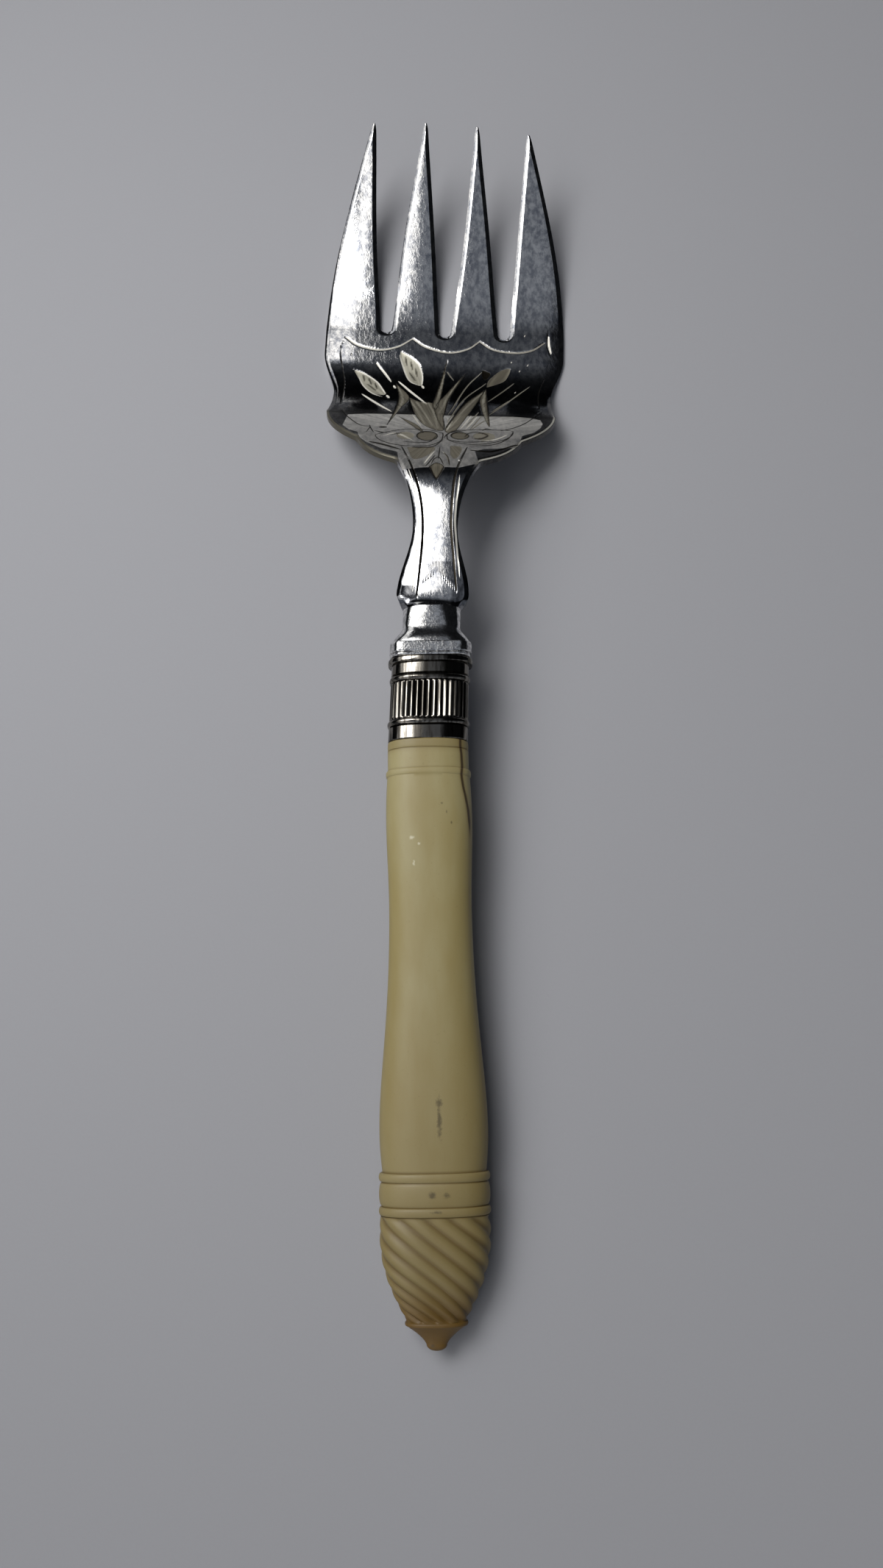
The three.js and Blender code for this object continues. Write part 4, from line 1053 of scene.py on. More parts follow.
# %% [markdown]
# One grid of each field is filled in mark by mark. A mark touches only the points
# within a couple of millimetres of it, which keeps the work short. A stroke is
# tapered as a graver leaves it, and a leaf or an eye is a closed shape.

# %% strokes and shapes
FAR = -1.0
MARK_REACH = 1.2

flat_across, flat_station = np.nan_to_num(across).ravel(), np.nan_to_num(station).ravel()
fields = {name: np.full(across.size, FAR) for name in ("bright", "matte", "dark", "frost")}
# The painted cut light: how brightly each cut's facets catch the lamp, a painted highlight from
# dim (0) to cream (1).
fields["tone"] = np.zeros(across.size)
dug = np.zeros(across.size)


def close_to(path):
    """Indices of the grid's points in the box round a path."""
    low, high = path.min(axis=0) - MARK_REACH, path.max(axis=0) + MARK_REACH
    return np.flatnonzero((flat_across > low[0]) & (flat_across < high[0])
                          & (flat_station > low[1]) & (flat_station < high[1]) & solid.ravel())


def mark(near, inside, field, tone, depth, slant=1):
    """Keeps the greater field and depth at each point: depth * slant, fading at the edge."""
    fields[field][near] = np.maximum(fields[field][near], inside)
    fields["tone"][near] = tone
    dug[near] = np.maximum(dug[near], depth * slant)


def cut(points, width, depth, field="dark", side=0, tone=(0, 0), taper=.35):
    """A tapered stroke: width * (4 s (1 - s))^taper, deeper toward one side."""
    path = smooth_path(points)
    near = close_to(path)
    gap, facing, along = path_offset(path, flat_across[near], flat_station[near])
    half = width / 2 * np.maximum(4 * along * (1 - along), .02) ** taper
    inside = half - gap
    slant = np.clip(.5 + .5 * side * facing * gap / half if side else 1 - gap / half, 0, 1)
    tones = tone[0] + (tone[1] - tone[0]) * along
    mark(near, inside, field, np.where(inside > -.15, tones, fields["tone"][near]),
         depth * ramp(inside, 0, .08), slant)


def cut_each(marks, *how, **more):
    """The same stroke along each of several rows of pixels."""
    for pixels in marks:
        cut(on_blade(pixels), *how, **more)


def fill(points, depth, field, tone):
    """A closed shape sunk a little under the face."""
    path = smooth_path(np.concatenate([points, points[:1]]))[:-1]
    near = close_to(path)
    inside = inside_shape(path, flat_across[near], flat_station[near])
    mark(near, inside, field, np.where(inside > -.1, tone, fields["tone"][near]),
         depth * ramp(inside, 0, .2))


def line_round(shape, width):
    """A fine dark line round a closed shape."""
    cut([*shape, shape[0]], width, .05, taper=0)


print("grid points that a mark can move:", int(solid.sum()))

# %% leaves, panels and the bow
BOW_HALF = 5
way_round = np.linspace(0, 2 * np.pi, 12, endpoint=False)

for pixels in LEAVES:
    fill(on_blade(pixels), .05, "matte", .14)
    line_round(on_blade(pixels), .18)
# Painted light: the dim ear has the low painted cut light of a facet turned from the lamp.
for pixels in DIM_EARS:
    fill(on_blade(pixels), .08, "matte", .12)
for pixels in NECK_PANELS:
    fill(on_blade(pixels), .05, "matte", .1)
fill(on_blade(DARK_LEAF), .05, "dark", 0)
fill(on_enlarged_heel(CUP), .05, "matte", .1)
line_round(on_enlarged_heel(CUP), .2)
for middle, half in zip(on_blade(EYES), EYE_HALVES):
    oval = middle + half * np.column_stack([np.cos(way_round), np.sin(way_round)])
    beside_bow = abs(middle[0]) > BOW_HALF
    fill(oval, .1, "matte", .3 if beside_bow else .1)
    if not beside_bow:
        line_round(oval, .3)
for pixels in BOW_LOOPS:
    line_round(on_enlarged_heel(pixels), .28)
cut(CURL, .3, .08, taper=.2)
print("points sunk so far:", int((dug > 0).sum()))

# %% strokes, from the faint to the bold
for pixels in PALE_CUTS:
    cut(on_enlarged_heel(pixels), .4, .06, "bright", 1, (.75, .55), taper=.6)
cut_each(VEINS, .2, .04, "matte", 0, (.5, .3), taper=.2)
for middle in on_blade(NICKS):
    cut(middle + NICK, .3, .03, "bright", 0, (.6, .6), taper=.3)
cut_each(STEMS, .34, .08, "matte", 1, (.35, .2))
# Painted light: the two bright ears have the high painted cut light of facets that catch the lamp.
for pixels in EARS:
    fill(on_blade(pixels), .08, "matte", .8)
for points in EAR_TICKS:
    cut(points, .22, .05, tone=(.3, .3))
cut_each(EAR_RIMS, .42, .12, "bright", 1, (.9, .9))
cut_each(SLASHES, .6, .14, "bright", -1, (1, .85))
# Painted light: the swags are painted bright on the left, where their facets catch the lamp, and
# dimmer toward the right.
for pixels, tones in zip(SWAGS, [(.9, .4), (.85, .3), (.6, .15)]):
    cut(on_blade(pixels), .5, .14, "bright", 1, tones, taper=.15)
for points in GLINTS:
    cut(points, .45, .04, "bright", 0, (.9, .9), taper=.4)
cut_each(LINES, .3, .06)
cut_each(BOLD_LINES, .6, .14)
for pixels, side in zip(NECK_LINES, (1, -1)):
    cut(on_blade(pixels), .55, .16, "dark", side, taper=.2)
print("points sunk in all:", int((dug > 0).sum()), "deepest", round(float(dug.max()), 2), "mm")

# %% [markdown]
# Two places are only finished differently, not cut: the heel is frosted, with a
# pale reflection painted into its colour, and the foot of the neck carries fine
# hatching between its lines.

# %% frosted heel and hatched foot
HATCH_SIDES = (-2.4, 3.9)

frost_path = on_enlarged_heel(FROST)
near = close_to(frost_path)
fields["frost"][near] = inside_shape(frost_path, flat_across[near], flat_station[near])
hatch_foot = np.interp(flat_across, *on_blade(HATCH_FOOT).T)
fields["hatch"] = np.minimum(
    np.minimum(flat_station - hatch_foot, HATCH_TOP - flat_station),
    np.minimum(flat_across - HATCH_SIDES[0], HATCH_SIDES[1] - flat_across))
print("frosted points:", int((fields["frost"] > 0).sum()))

# %% [markdown]
# ## The blade's surface
#
# The face is the side profile, less the droop of the outer tines, the bevel and
# the engraving. At its foot the neck rises in a small fillet to meet the crowned
# barrel of the bolster. The underside is the face less the thickness, taken
# square to the slope.

# %% the blade's face
TINE_CROWN = .5
MARGIN_DROOP, DROOP_ACROSS, DROOP_FROM, DROOP_TO = .22, (20, 26.5), (56, 62), (84, 74)
NECK_ROLL, NECK_CROWN, FACE_CROWN, CROWN_ROWS = .075, .008, .02, 12
FILLET_LENGTH, FILLET_STEP, CROWN_POWER = 2.2, .12, 2.2

up_tine = np.clip(tine_share(station), 0, 1)
droop = TINE_CROWN * np.sin(np.pi * up_tine) * (across / WIDEST) ** 2
beside_bowl = ramp(station, *DROOP_FROM) * ramp(station, *DROOP_TO)
on_neck = ramp(station, NECK_END, NECK_END - 4) * ramp(station, FOOT_END - 1, FOOT_END + 2)
face = (blade_height(station) - droop
        - MARGIN_DROOP * ramp(np.abs(across), *DROOP_ACROSS) ** 2 * beside_bowl
        + on_neck * (NECK_ROLL * across - NECK_CROWN * across ** 2))
for tine in TINES:
    block = across[ROOT_ROW:, columns_of(tine)]
    middle, half = (block[:, :1] + block[:, -1:]) / 2, (block[:, -1:] - block[:, :1]) / 2
    growing = ramp(np.arange(len(block))[:, None], 0, CROWN_ROWS)
    crown = growing * FACE_CROWN * half * ((block - middle) / half) ** 2
    face[ROOT_ROW:, columns_of(tine)] -= crown
barrel_out = np.minimum(np.abs(across) / WAIST_HALF, .999)
barrel_round = (1 - barrel_out ** CROWN_POWER) ** (1 / CROWN_POWER)
barrel_top = AXIS_END + (WAIST_DEPTH + BARREL_CROWN) * barrel_round
fillet = ramp(station, FILLET_LENGTH, 0) ** 2
face = face + fillet * (barrel_top - FILLET_STEP - face)
bevel = BEVEL_DROP * ramp(edge, BEVEL_WIDTH, 0) ** 1.3
# The foot's row repeats the bevel of the next one.
bevel[0] = bevel[1]
top = face - bevel - dug.reshape(across.shape)
print("face from", round(float(np.nanmin(top)), 2), "to", round(float(np.nanmax(top)), 2), "mm up")

# %% the underside
NECK_ROUND = .4


def head_points(across, station, height):
    """The fork's own frame: head + across * (cos, -sin) + station * (sin, cos)."""
    return np.stack([HEAD_X + across * COS_LEAN + station * SIN_LEAN,
                     HEAD_Y + station * COS_LEAN - across * SIN_LEAN, height], axis=-1)


slope = blade_slope(station)
neck_share = np.interp(station / HEAD_LENGTH, *THICKENING.T)
thick = PLATE + (FOOT_THICKNESS - PLATE) * neck_share + (TIP_THICKNESS - PLATE) * up_tine
row_half = np.nanmax(np.abs(across), axis=1, keepdims=True)
rounded = thick * NECK_ROUND * neck_share * (across / row_half) ** 2
rim_drop = BEVEL_DROP * (edge < 1e-6)
below = (thick - rounded - rim_drop) / np.hypot(1, slope)
top_points = head_points(across, station, top)
under_points = head_points(across, station + below * slope,
                           blade_height(station) - droop - rim_drop - below)
# The foot is cut off square against the bolster.
top_points[0, :, 1] = HEAD_Y
under_points[0, :, 1] = HEAD_Y
print("thickness", np.round([np.nanmin(thick), np.nanmax(thick)], 2).tolist(), "mm")

# %% [markdown]
# The walls run along every free edge: the outline, the slots and the ends. Each
# wall face takes five points of the fine edge above and two of the coarse edge
# below.

# %% faces of the blade
coarse = np.zeros_like(solid)
coarse[::STEP, ::STEP] = True
coarse &= solid
top_index = np.cumsum(solid.ravel()).reshape(solid.shape) - 1
under_index = np.cumsum(coarse.ravel()).reshape(solid.shape) - 1 + int(solid.sum())
under_grid = under_index[::STEP, ::STEP]


def cells(present):
    """True for each cell of a grid whose four corners are present."""
    return present[:-1, :-1] & present[:-1, 1:] & present[1:, :-1] & present[1:, 1:]


def quads(index, mask, up):
    """Faces of the marked cells, turned up or down."""
    corners = [index[:-1, :-1], index[:-1, 1:], index[1:, 1:], index[1:, :-1]]
    faces = np.stack([corner[mask] for corner in corners], axis=-1)
    return faces if up else faces[:, ::-1]


def wall(rows, columns, backward):
    """Faces along an edge: two points below, then five points above, walked back."""
    above = top_index[rows, columns]
    under = under_index[rows, columns][::STEP]
    if backward:
        above, under = above[::-1], under[::-1]
    walked_back = np.arange(len(under) - 1)[:, None] * STEP + np.arange(STEP, -1, -1)
    return np.column_stack([under[:-1], under[1:], above[walked_back]])


in_slot = np.zeros(SEAMS[-1], bool)
for slot in SLOTS:
    in_slot[SEAMS[2 * slot + 1]:SEAMS[2 * slot + 2]] = True
top_cells, under_cells = cells(solid), cells(solid[::STEP, ::STEP])
top_cells[ROOT_ROW:, in_slot] = False
under_cells[ROOT_ROW // STEP:, in_slot[::STEP]] = False

body, tines = slice(0, ROOT_ROW + 1), slice(ROOT_ROW, None)
walls = [wall(body, 0, True), wall(body, -1, False), wall(0, slice(None), False)]
for tine in TINES:
    first, last = SEAMS[2 * tine], SEAMS[2 * tine + 1]
    walls += [wall(tines, first, True), wall(tines, last, False), wall(-1, columns_of(tine), True)]
for slot in SLOTS:
    walls.append(wall(ROOT_ROW, slice(SEAMS[2 * slot + 1], SEAMS[2 * slot + 2] + 1), True))
print("faces above", int(top_cells.sum()), "below", int(under_cells.sum()), "in the walls",
      sum(len(faces) for faces in walls))

# %% write the blade
def at_points(above, below):
    """Values for the points of the face, then for the points of the underside."""
    return np.concatenate([above[solid], below[coarse]])


nothing = np.full(solid.shape, FAR)
blade_fields = {name: at_points(values.reshape(solid.shape), nothing)
                for name, values in fields.items()}
blade_fields.update(edge=at_points(edge, 0 * edge), across=at_points(across, across),
                    along=at_points(station, station))
blade = write_piece(
    "blade_engraved", at_points(top_points, under_points),
    [quads(top_index, top_cells, True), quads(under_grid, under_cells, False)] + walls,
    blade_fields, crease=30)

# %% [markdown]
# ## Shader maths in Python
#
# A finish is easier to read as an expression than as a picture of nodes. A Term
# wraps one socket, and sums and products of terms add the Math nodes. Every
# other node comes from one method.

# %% terms
class Term:
    """An output socket that Python's operators work on."""

    def __init__(self, finish, socket):
        self.finish, self.socket = finish, socket

    def maths(self, operation, *others):
        """A Math node on this term and the others, in order."""
        return self.finish.maths(operation, self, *others)

    def __add__(self, other):
        return self.maths("ADD", other)

    def __sub__(self, other):
        return self.maths("SUBTRACT", other)

    def __rsub__(self, other):
        return self.finish.maths("SUBTRACT", other, self)

    def __mul__(self, other):
        return self.maths("MULTIPLY", other)

    __radd__, __rmul__ = __add__, __mul__

    def sine(self):
        """Sine of this, in radians."""
        return self.maths("SINE")

    def turn(self, other):
        """Angle, in radians, whose tangent is this over the other."""
        return self.maths("ARCTAN2", other)

    def greatest(self, *others):
        """The greatest of this and the others."""
        found = self
        for other in others:
            found = found.maths("MAXIMUM", other)
        return found

    def rise(self, low, high):
        """Smooth step: 0 below low, 1 above high."""
        return self.finish.add(
            "ShaderNodeMapRange", {"interpolation_type": "SMOOTHSTEP"},
            {"Value": self, "From Min": low, "From Max": high})


print("a term knows", [name for name in vars(Term) if not name.startswith("_")])


# %% node trees
class Finish:
    """A node tree, for a material or for the world."""

    def __init__(self, tree):
        self.tree = tree
        tree.nodes.clear()

    def add(self, kind, settings=None, inputs=None, output=0):
        """Adds a node, sets it up, fills or links its inputs and returns one output."""
        node = self.tree.nodes.new(kind)
        for key, value in (settings or {}).items():
            setattr(node, key, value)
        for key, value in (inputs or {}).items():
            socket = node.inputs[key] if isinstance(key, int) else next(
                s for s in node.inputs if s.name == key and s.enabled)
            if isinstance(value, Term):
                self.tree.links.new(value.socket, socket)
            else:
                socket.default_value = value
        if output is None:
            return None
        outputs = [s for s in node.outputs if s.enabled]
        found = outputs[output] if isinstance(output, int) else node.outputs[output]
        return Term(self, found)

    def maths(self, operation, *values):
        """A Math node on terms or numbers."""
        return self.add("ShaderNodeMath", {"operation": operation}, dict(enumerate(values)))

    def vector(self, operation, *values, output=0):
        """A Vector Math node on terms or triples."""
        return self.add("ShaderNodeVectorMath", {"operation": operation},
                        dict(enumerate(values)), output)

    def mix(self, share, first, second):
        """The first colour, and the second where the share is 1."""
        return self.add("ShaderNodeMix", {"data_type": "RGBA"},
                        {"Factor": share, "A": first, "B": second})

    def place(self, scale=(1, 1, 1)):
        """Object coordinates in millimetres, times a scale on each axis."""
        coords = self.add("ShaderNodeTexCoord", output="Object")
        return self.vector("MULTIPLY", coords, tuple(c / MM for c in scale))

    def noise(self, where, size, detail=2.0, roughness=.5):
        """Noise with features of a given size."""
        return self.add("ShaderNodeTexNoise", None, {
            "Vector": where, "Scale": 1 / size, "Detail": detail, "Roughness": roughness})

    def field(self, name):
        """A value that the mesh carries at its points."""
        return self.add("ShaderNodeAttribute", {"attribute_name": name}, output="Fac")

    def axis(self, vector, number):
        """One of a vector's three numbers."""
        return self.add("ShaderNodeSeparateXYZ", None, {"Vector": vector}, output=number)

    def bump(self, height, distance, strength):
        """A Normal that leans as if the surface rose by height * distance, in metres."""
        return self.add("ShaderNodeBump", None, {
            "Height": height, "Distance": distance, "Strength": strength})


print("a finish can add", [name for name in vars(Finish) if not name.startswith("_")])


# %% colours and materials
def colour(red, green, blue):
    """An sRGB colour, from 0 to 255, as the linear value that sockets take."""
    values = np.array([red, green, blue]) / 255
    linear = np.where(values < .04045, values / 12.92, ((values + .055) / 1.055) ** 2.4)
    return (*[float(v) for v in linear], 1.0)


def new_finish(name):
    """A new material, as the Finish of its node tree."""
    material = bpy.data.materials.new(name)
    material.use_nodes = True
    finish = Finish(material.node_tree)
    finish.material = material
    return finish


def surface(finish, values):
    """Puts the Principled shader with these values on the finish's output."""
    shader = finish.add("ShaderNodeBsdfPrincipled", None, values)
    finish.add("ShaderNodeOutputMaterial", None, {"Surface": shader}, output=None)
    print(finish.material.name, "has", len(finish.tree.nodes), "nodes")
    return finish.material


print("middle grey is", round(colour(128, 128, 128)[0], 3), "as a linear value")

# %% [markdown]
# ## Silver plate
#
# Worn plate is bright but not clean. It has a haze of fine scratches, cloudy
# patches where fingers have been, and dirt in every cut. The cut facets scatter
# more than the face. How brightly each cut catches the light is painted into its
# colour as a highlight, from dim to cream. The leaves are left rough.

# %% haze, and the fields of the engraving
plate = new_finish("silver_plate")
cloud = plate.noise(plate.place(), 6, 4, .6)
mottle = plate.noise(plate.place((1, .6, 1)), 1.1, 4, .65).rise(.32, .68)
scratch = plate.noise(plate.place((1, .05, 1)), .2, 2, .5)
haze = mottle * .75 + cloud.rise(.35, .7) * .25
bright = plate.field("bright").rise(-.04, .08)
matte = plate.field("matte").rise(-.04, .06)
dark = plate.field("dark").rise(-.05, .07)
frost = plate.field("frost").rise(-.1, .12)
tone, to_edge = plate.field("tone"), plate.field("edge")
across_head, along_head = plate.field("across"), plate.field("along")
print("nodes so far:", len(plate.tree.nodes))

# %% [markdown]
# The frosted heel and the leaves are stroked with fine lines that fan out from the
# bow. Noise does that when it is read at an angle and a distance from the bow. The
# foot of the neck has straight hatching, the sine of the distance across.

# %% strokes that fan out from the bow
BOW = (.2, 41.0)
aside, beyond = across_head - BOW[0], along_head - BOW[1]
strokes = plate.add("ShaderNodeCombineXYZ", None, {
    "X": aside.turn(beyond) * 26, "Y": beyond * .12})
fan = plate.noise(strokes, 1, 2, .6).rise(.38, .62)
hatching = (across_head * 20 + cloud * 4).sine().rise(-.3, .6)
hatch = plate.field("hatch").rise(-.1, .2) * hatching
print("nodes so far:", len(plate.tree.nodes))

# %% [markdown]
# In the photograph the plate is dark where it mirrors a dark room: in the palm of
# the bowl, at the sides of the neck's foot and round the frost. Part of that dark
# reflection is painted into the plate's colour as painted shade, so it stays in other
# views too. The rim of the heel has a painted reflection, dull on the left and pale
# on the right.

# %% plate between the cuts
on_heel = (1 - along_head.rise(48, 51)) * along_head.rise(30, 33)
# Painted shade: the dark reflection in the margin round the frost.
beside_frost = on_heel * (1 - frost)
to_right = across_head.rise(-4, 6)
# Painted reflection on the heel's rim: dull on the left, pale on the right.
heel_rim_painted_light = on_heel * (1 - to_edge.rise(.4, .6)) * to_edge.rise(.05, .2).greatest(1 - to_right)
# Painted shade: dark reflections in the palm of the bowl and at the sides of the neck's foot.
bowl_painted_dark_reflection = along_head.rise(48, 48.6) * (1 - along_head.rise(56, 64))
beside_panel = across_head.rise(3.4, 4.2).greatest(1 - across_head.rise(-3.8, -3.0))
foot_painted_dark_reflection = (1 - along_head.rise(6, 12)) * beside_panel
# Painted reflection on the frosted heel: darker toward the notches, paler toward the bowl.
heel_painted_sheen = plate.mix(along_head.rise(39, 47), colour(108, 105, 98), colour(190, 187, 180))
metal = plate.mix(haze, colour(246, 244, 241), colour(138, 142, 152))
# Painted light in the metal's colour: dark reflections in the palm, at the foot's sides and round
# the frost, the rim's reflection, and the frost's pale sheen.
for share, shade in [
        (bowl_painted_dark_reflection * .85, plate.mix(mottle, colour(66, 65, 63), colour(18, 17, 17))),
        (foot_painted_dark_reflection * .8, plate.mix(mottle, colour(124, 126, 132), colour(44, 44, 46))),
        (beside_frost * .9, colour(34, 33, 31)),
        (heel_rim_painted_light, plate.mix(to_right, colour(88, 84, 72), colour(206, 203, 192))),
        (frost * .75, plate.mix(fan * .45, heel_painted_sheen, colour(66, 64, 58)))]:
    metal = plate.mix(share, metal, shade)
print("nodes so far:", len(plate.tree.nodes))

# %% cuts, and the whole finish
# Matte and bright cuts mix a dim and a lit copy of their colour by the painted cut light: a
# painted highlight where a cut catches the lamp.
rough_metal = plate.mix(tone, colour(104, 97, 82), colour(226, 222, 204))
stroked = plate.mix(tone, colour(58, 53, 44), colour(164, 160, 144))
base = plate.mix(matte, metal, plate.mix(fan * .55, rough_metal, stroked))
base = plate.mix(bright, base, plate.mix(tone, colour(104, 97, 82), colour(250, 246, 234)))
base = plate.mix(dark.greatest(hatch * .9), base, colour(34, 31, 26))
cut_away = matte.greatest(bright, dark)
silver = surface(plate, {
    "Base Color": base,
    "Metallic": 1 - (bright * .6).greatest(matte * .35, frost * .5, heel_rim_painted_light * .5),
    "Roughness": .045 + haze * .05 + (cut_away * .35).greatest(frost * .3, beside_frost * .25),
    "Normal": plate.bump(scratch * .3 + mottle, .000012, .5),
})

# %% [markdown]
# ## Cast, forged and poured
#
# Three finishes differ only in their numbers. The cast bolster is plated like the
# blade but duller, the hidden tang is dark forged steel, and the resin is brown
# and lumpy. One function makes each from a noise that mixes two colours, and that
# roughens and raises the surface by the same pattern.

# %% bolster, tang and resin
def grainy(name, size, detail, grain, light, shade, rough, metallic, height, soften=None):
    """Colour, roughness and bump from one noise: light where it is low, shade where high."""
    finish = new_finish(name)
    noise = finish.noise(finish.place(), size, detail, grain)
    if soften:
        noise = noise.rise(*soften)
    return surface(finish, {
        "Base Color": finish.mix(noise, colour(*light), colour(*shade)),
        "Metallic": metallic,
        "Roughness": rough[0] + noise * rough[1],
        "Normal": finish.bump(noise, height, .5),
    })


cast_metal = grainy("cast_plate", size=.9, detail=4, grain=.65, light=(252, 251, 248),
                    shade=(158, 158, 160), rough=(.06, .1), metallic=1.0, height=.00002,
                    soften=(.32, .68))
forged = grainy("forged_steel", size=.8, detail=5, grain=.6, light=(120, 112, 104),
                shade=(70, 62, 56), rough=(.45, .3), metallic=1.0, height=.0001)
resin = grainy("cutlers_resin", size=1.2, detail=4, grain=.6, light=(96, 54, 30),
               shade=(50, 28, 18), rough=(.55, .2), metallic=0.0, height=.00015)

# %% [markdown]
# ## Tarnished ferrule and cap
#
# Ferrule and cap are dark with tarnish. The tops of the reeds and beads are rubbed
# bright by the hand, in streaks along the fork, and grime lies between.

# %% tarnished ferrule and cap
tarnish = new_finish("tarnished_plate")
pitting = tarnish.noise(tarnish.place(), 2.2, 4, .65)
grimy = tarnish.field("grime")
worn = tarnish.noise(tarnish.place((1, .06, 1)), .8, 3, .6).rise(.42, .6)
rubbed = tarnish.mix(worn, colour(132, 128, 121), colour(74, 71, 66))
tarnished = surface(tarnish, {
    "Base Color": tarnish.mix(grimy.rise(.35, .95), rubbed, colour(14, 13, 12)),
    "Metallic": 1.0,
    "Roughness": .1 + worn * .06 + grimy.rise(.4, .9) * .3,
    "Normal": tarnish.bump(pitting, .00003, .4),
})

# %% [markdown]
# ## Ivory-coloured handle
#
# The handle is a warm ivory colour, a little uneven, with ochre gathered in the
# grooves. It has a soft polish, so a clear coat lies over a scattering surface.
# Its stains and chips are ovals with an uneven edge, picked on the photograph.

# %% stains and chips
DARK_SPOTS = [
    ((600.5, 1092), (.25, .3)), ((607, 1103.5), (.22, .35)), ((613.5, 1118), (.2, .3)),
    ((597, 1499), (.7, .9)), ((597, 1524), (.45, 3.6)), ((587, 1626), (.9, .6)),
    ((606.5, 1626), (.7, .5)), ((593.5, 1649), (1.0, .3)), ((588, 1830), (.4, .4)),
]
PALE_SPOTS = [((559.5, 1139), (.5, .4)), ((569.5, 1146.5), (.3, .3)), ((562.5, 1173), (.25, .6))]

ivory = new_finish("ivory_handle")
where = ivory.place()
mist = ivory.noise(ivory.place((1, .3, 1)), 9, 4, .55)
speckle = ivory.noise(where, .7, 3, .6)


def spots(places):
    """1 inside any of the ovals, given by middle in the photograph and half-lengths in mm."""
    middles = met([middle for middle, _ in places], handle_place, handle_top).tolist()
    ovals = []
    for (x, y), (middle, (wide, long)) in zip(middles, places):
        offset = ivory.vector("SUBTRACT", where, (AXIS_X + x, TIP_Y + y, 0))
        scaled = ivory.vector("MULTIPLY", offset, (1 / wide, 1 / long, 0))
        gap = ivory.vector("LENGTH", scaled, output="Value")
        ovals.append(1 - (gap + speckle * 2.4).rise(1.3, 2.5))
    return ovals[0].greatest(*ovals[1:])


dark_spots, pale_spots = spots(DARK_SPOTS), spots(PALE_SPOTS)
print("stains", len(DARK_SPOTS), "chips", len(PALE_SPOTS))

# %% ivory colour, from the body to the crack
creviced, hollowed, cracked = [ivory.field(name) for name in ("crevice", "hollow", "crack")]
up_handle = ivory.axis(where, 1) - TIP_Y
at_ends = up_handle.rise(109.5, 111.5).greatest(1 - up_handle.rise(16, 34))
ivory_colour = ivory.mix(mist.rise(.3, .7), colour(157, 147, 106), colour(145, 131, 84))
for share, shade in [
        ((1 - up_handle.rise(20, 90)) * .5, (120, 99, 54)),
        (at_ends * .5, (118, 102, 60)),
        ((1 - up_handle.rise(4, 14)) * .9, (94, 66, 8)),
        (speckle.rise(.62, .75) * .2, (112, 94, 52)),
        (hollowed.rise(.2, 1) * .65, (94, 72, 26)),
        (creviced.rise(.35, 1) * .6, (88, 66, 26)),
        (dark_spots * .7, (64, 54, 34)),
        (pale_spots * .6, (220, 214, 190)),
        (cracked.rise(-.8, 0) * .45, (104, 76, 32)),
        (cracked.rise(-.32, -.14) * .85, (46, 29, 12))]:
    ivory_colour = ivory.mix(share, ivory_colour, colour(*shade))
carved = surface(ivory, {
    "Base Color": ivory_colour,
    "Roughness": .5 + mist * .1,
    "Coat Weight": .08,
    "Coat Roughness": .3,
    "Normal": ivory.bump(speckle, .00004, .3),
})

# %% [markdown]
# ## Joining the skins to the frame
#
# Each skin takes its finish, rides on the fork's one body and replaces its CAD
# piece. Tang and resin can't be seen, so they keep their CAD meshes.

# %% dress the pieces
for piece, material, node, slot in (
        (blade, silver, "blade", "plated_metal"),
        (bolster, cast_metal, "bolster", "bolster_metal"),
        (cap, tarnished, "ferrule_cap", "cap_metal"),
        (ferrule, tarnished, "ferrule", "ferrule_metal"),
        (handle, carved, "handle", "carved_handle")):
    piece.data.materials.append(material)
    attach(piece, BODY)
    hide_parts(node)
    print(piece.name, "replaces", node)
for node, material in (("tang", forged), ("resin_fill", resin)):
    if not nodes[node].material_slots:
        nodes[node].data.materials.append(material)
    for held in nodes[node].material_slots:
        held.material = material

# %% [markdown]
# ## Floor
#
# The fork lies on a plain pale cloth, one large square just under the table's
# height, with a faint weave in its colour. It takes the shadows.

# %% floor
FLOOR_REACH, FLOOR_DROP = 3.0, 1e-5

cloth = new_finish("pale_floor")
weave = cloth.noise(cloth.place(), .5, 3, .6)
floor_mesh = bpy.data.meshes.new("floor")
floor_mesh.from_pydata([(x * FLOOR_REACH, y * FLOOR_REACH, -FLOOR_DROP)
                        for x, y in ((-1, -1), (1, -1), (1, 1), (-1, 1))], [], [(0, 1, 2, 3)])
floor_mesh.materials.append(surface(cloth, {
    "Base Color": cloth.mix(weave * .3, colour(162, 162, 166), colour(152, 152, 156)),
    "Roughness": .9}))
floor = put_in_scene("floor", floor_mesh)
floor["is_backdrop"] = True

# %% [markdown]
# ## The room
#
# Polished metal is a picture of the room, so the room is what gets designed. The
# reflections in the photograph tell of it, by direction: a dim band at the horizon
# beyond the tines, a glow that grows toward the zenith, a slanting lamp just left
# of overhead, a pale window on the left and a faint light behind. Only reflections
# and the object see this room. The camera sees a plain pale one.

# %% world
DEGREES = 180 / math.pi
ROOM_DARK, SEEN_GREY = .008, (.4, .4, .41, 1)
COOL, WARM = (.86, .93, 1.06, 1), (1, .99, .97, 1)

world = bpy.data.worlds.new("room")
world.use_nodes = True
bpy.context.scene.world = world
room = Finish(world.node_tree)
direction = room.add("ShaderNodeTexCoord", output="Generated")
x, y, z = [room.axis(direction, number) for number in range(3)]
ahead = z.turn(y) * DEGREES
sideways = x.turn(z) * DEGREES


def strip(angle, start, end, soft):
    """1 between two angles, with soft edges."""
    return angle.rise(start - soft, start + soft) * (1 - angle.rise(end - soft, end + soft))


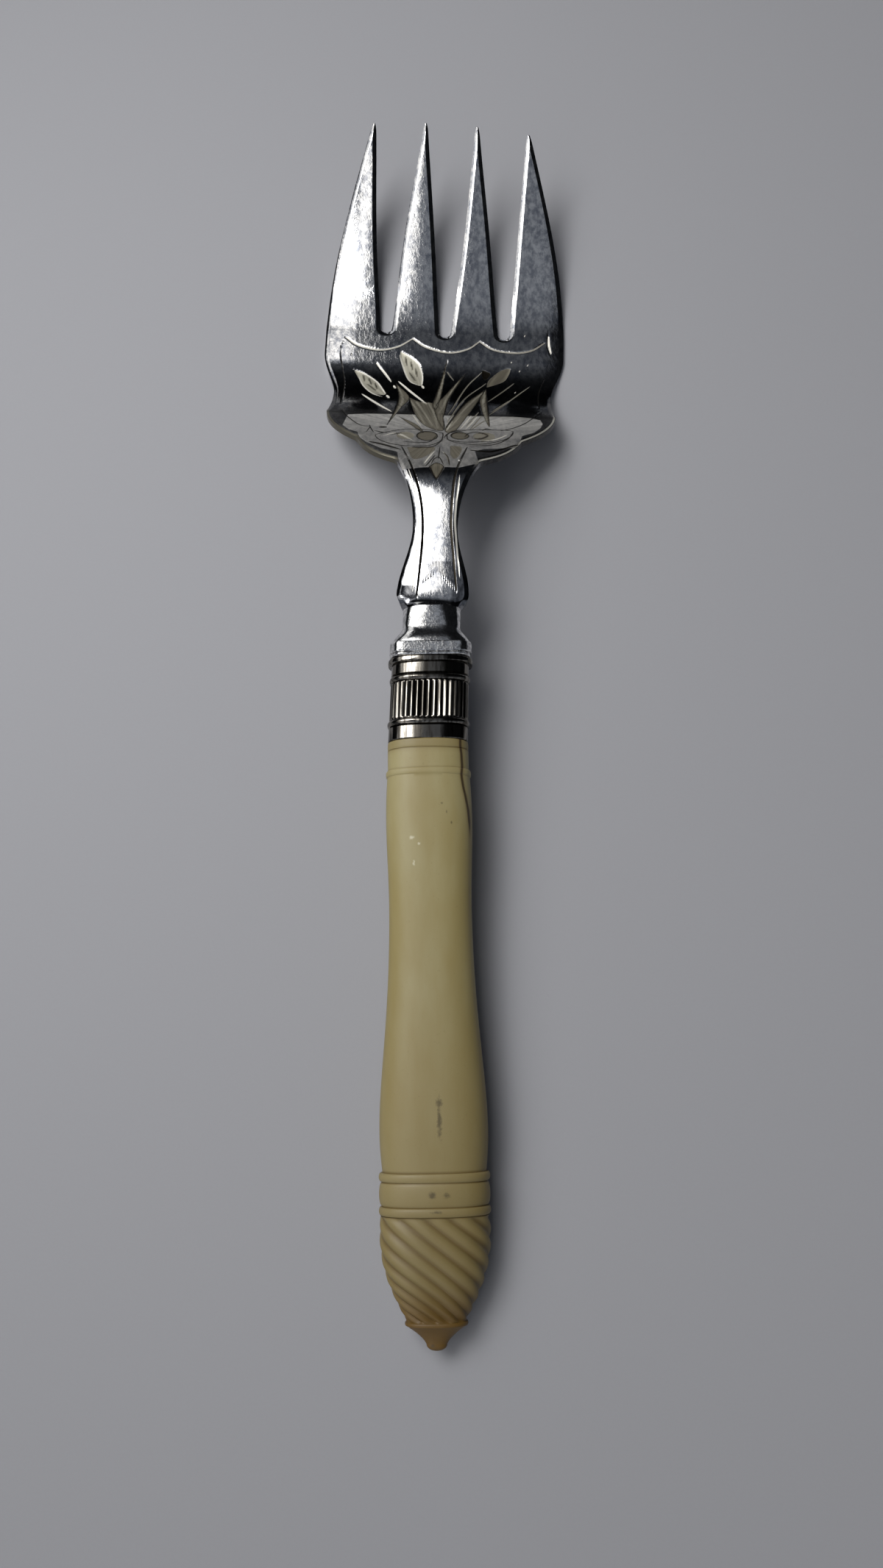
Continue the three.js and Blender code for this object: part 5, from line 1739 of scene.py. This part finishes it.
horizon = strip(ahead, -20, 4, 2) * .25
overhead = ahead.rise(34, 88) * .2 * sideways.rise(-60, -45) * (1 - sideways.rise(9, 14))
lamp_left = (92 - ahead).greatest(0) * -1.4 - 9
lamp = ((sideways - lamp_left).rise(-1, 1) * (1 - sideways.rise(-5.7, -4.1))
        * strip(ahead, 54, 112, 4) * 1.8)
left = strip(sideways, -56, -27, 3) * .9
behind = ahead.rise(118, 140) * .22
light = ROOM_DARK + behind + horizon + overhead + lamp + left
lit = room.add("ShaderNodeBackground", None, {
    "Color": room.mix(lamp + left, COOL, WARM), "Strength": light})
pale = room.add("ShaderNodeBackground", None, {"Color": SEEN_GREY, "Strength": 1.0})
seen = room.add("ShaderNodeLightPath", output="Is Camera Ray")
both = room.add("ShaderNodeMixShader", None, {0: seen, 1: lit, 2: pale})
room.add("ShaderNodeOutputWorld", None, {"Surface": both}, output=None)
print("the room has", len(room.tree.nodes), "nodes")

# %% [markdown]
# ## Lamp
#
# One soft lamp up on the left throws the shadows to the right. It is a rectangle
# nearly as long as the fork, so a shadow is soft where the fork stands high and
# crisp where it lies low.

# %% lamp
LAMP_PLACE, LAMP_SIZE, LAMP_WATTS = (-.165, .092, .33), (.22, .17), .78

lamp_data = bpy.data.lights.new("soft_lamp", "AREA")
lamp_data.shape = "RECTANGLE"
lamp_data.size, lamp_data.size_y = LAMP_SIZE
lamp_data.energy = LAMP_WATTS
lamp_object = put_in_scene("soft_lamp", lamp_data)
lamp_object.location = LAMP_PLACE
lamp_object.rotation_euler = (-lamp_object.location).to_track_quat("-Z", "Y").to_euler()
print("lamp", round(lamp_object.location.length / MM), "mm from the middle of the frame")

# %% [markdown]
# ## Camera
#
# The camera stands where the photograph was taken from: a hand's breadth behind
# the bolster and 229 mm up, looking down and a little forward.

# %% camera
SENSOR, NEAREST = 36, .01

camera_data = bpy.data.cameras.new("camera")
camera_data.sensor_width = SENSOR
camera_data.lens = SENSOR * FOCAL_PIXELS / PHOTO_HEIGHT
camera_data.clip_start = NEAREST
camera = put_in_scene("camera", camera_data)
camera.location = CAMERA * MM
camera.rotation_euler = (CAMERA_TILT, 0, CAMERA_ROLL)
bpy.context.scene.camera = camera
bpy.context.scene.view_settings.view_transform = "Standard"
print("lens", round(camera_data.lens, 1), "mm")

# %% [markdown]
# ## Sizes
#
# The box of the CAD part and the box of the dressed part are printed, one line each.

# %% sizes of the CAD part and of the dressed part
for low, high in (cad_bounds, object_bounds()):
    print("box", [round(float(b - a) / MM, 2) for a, b in zip(low, high)])
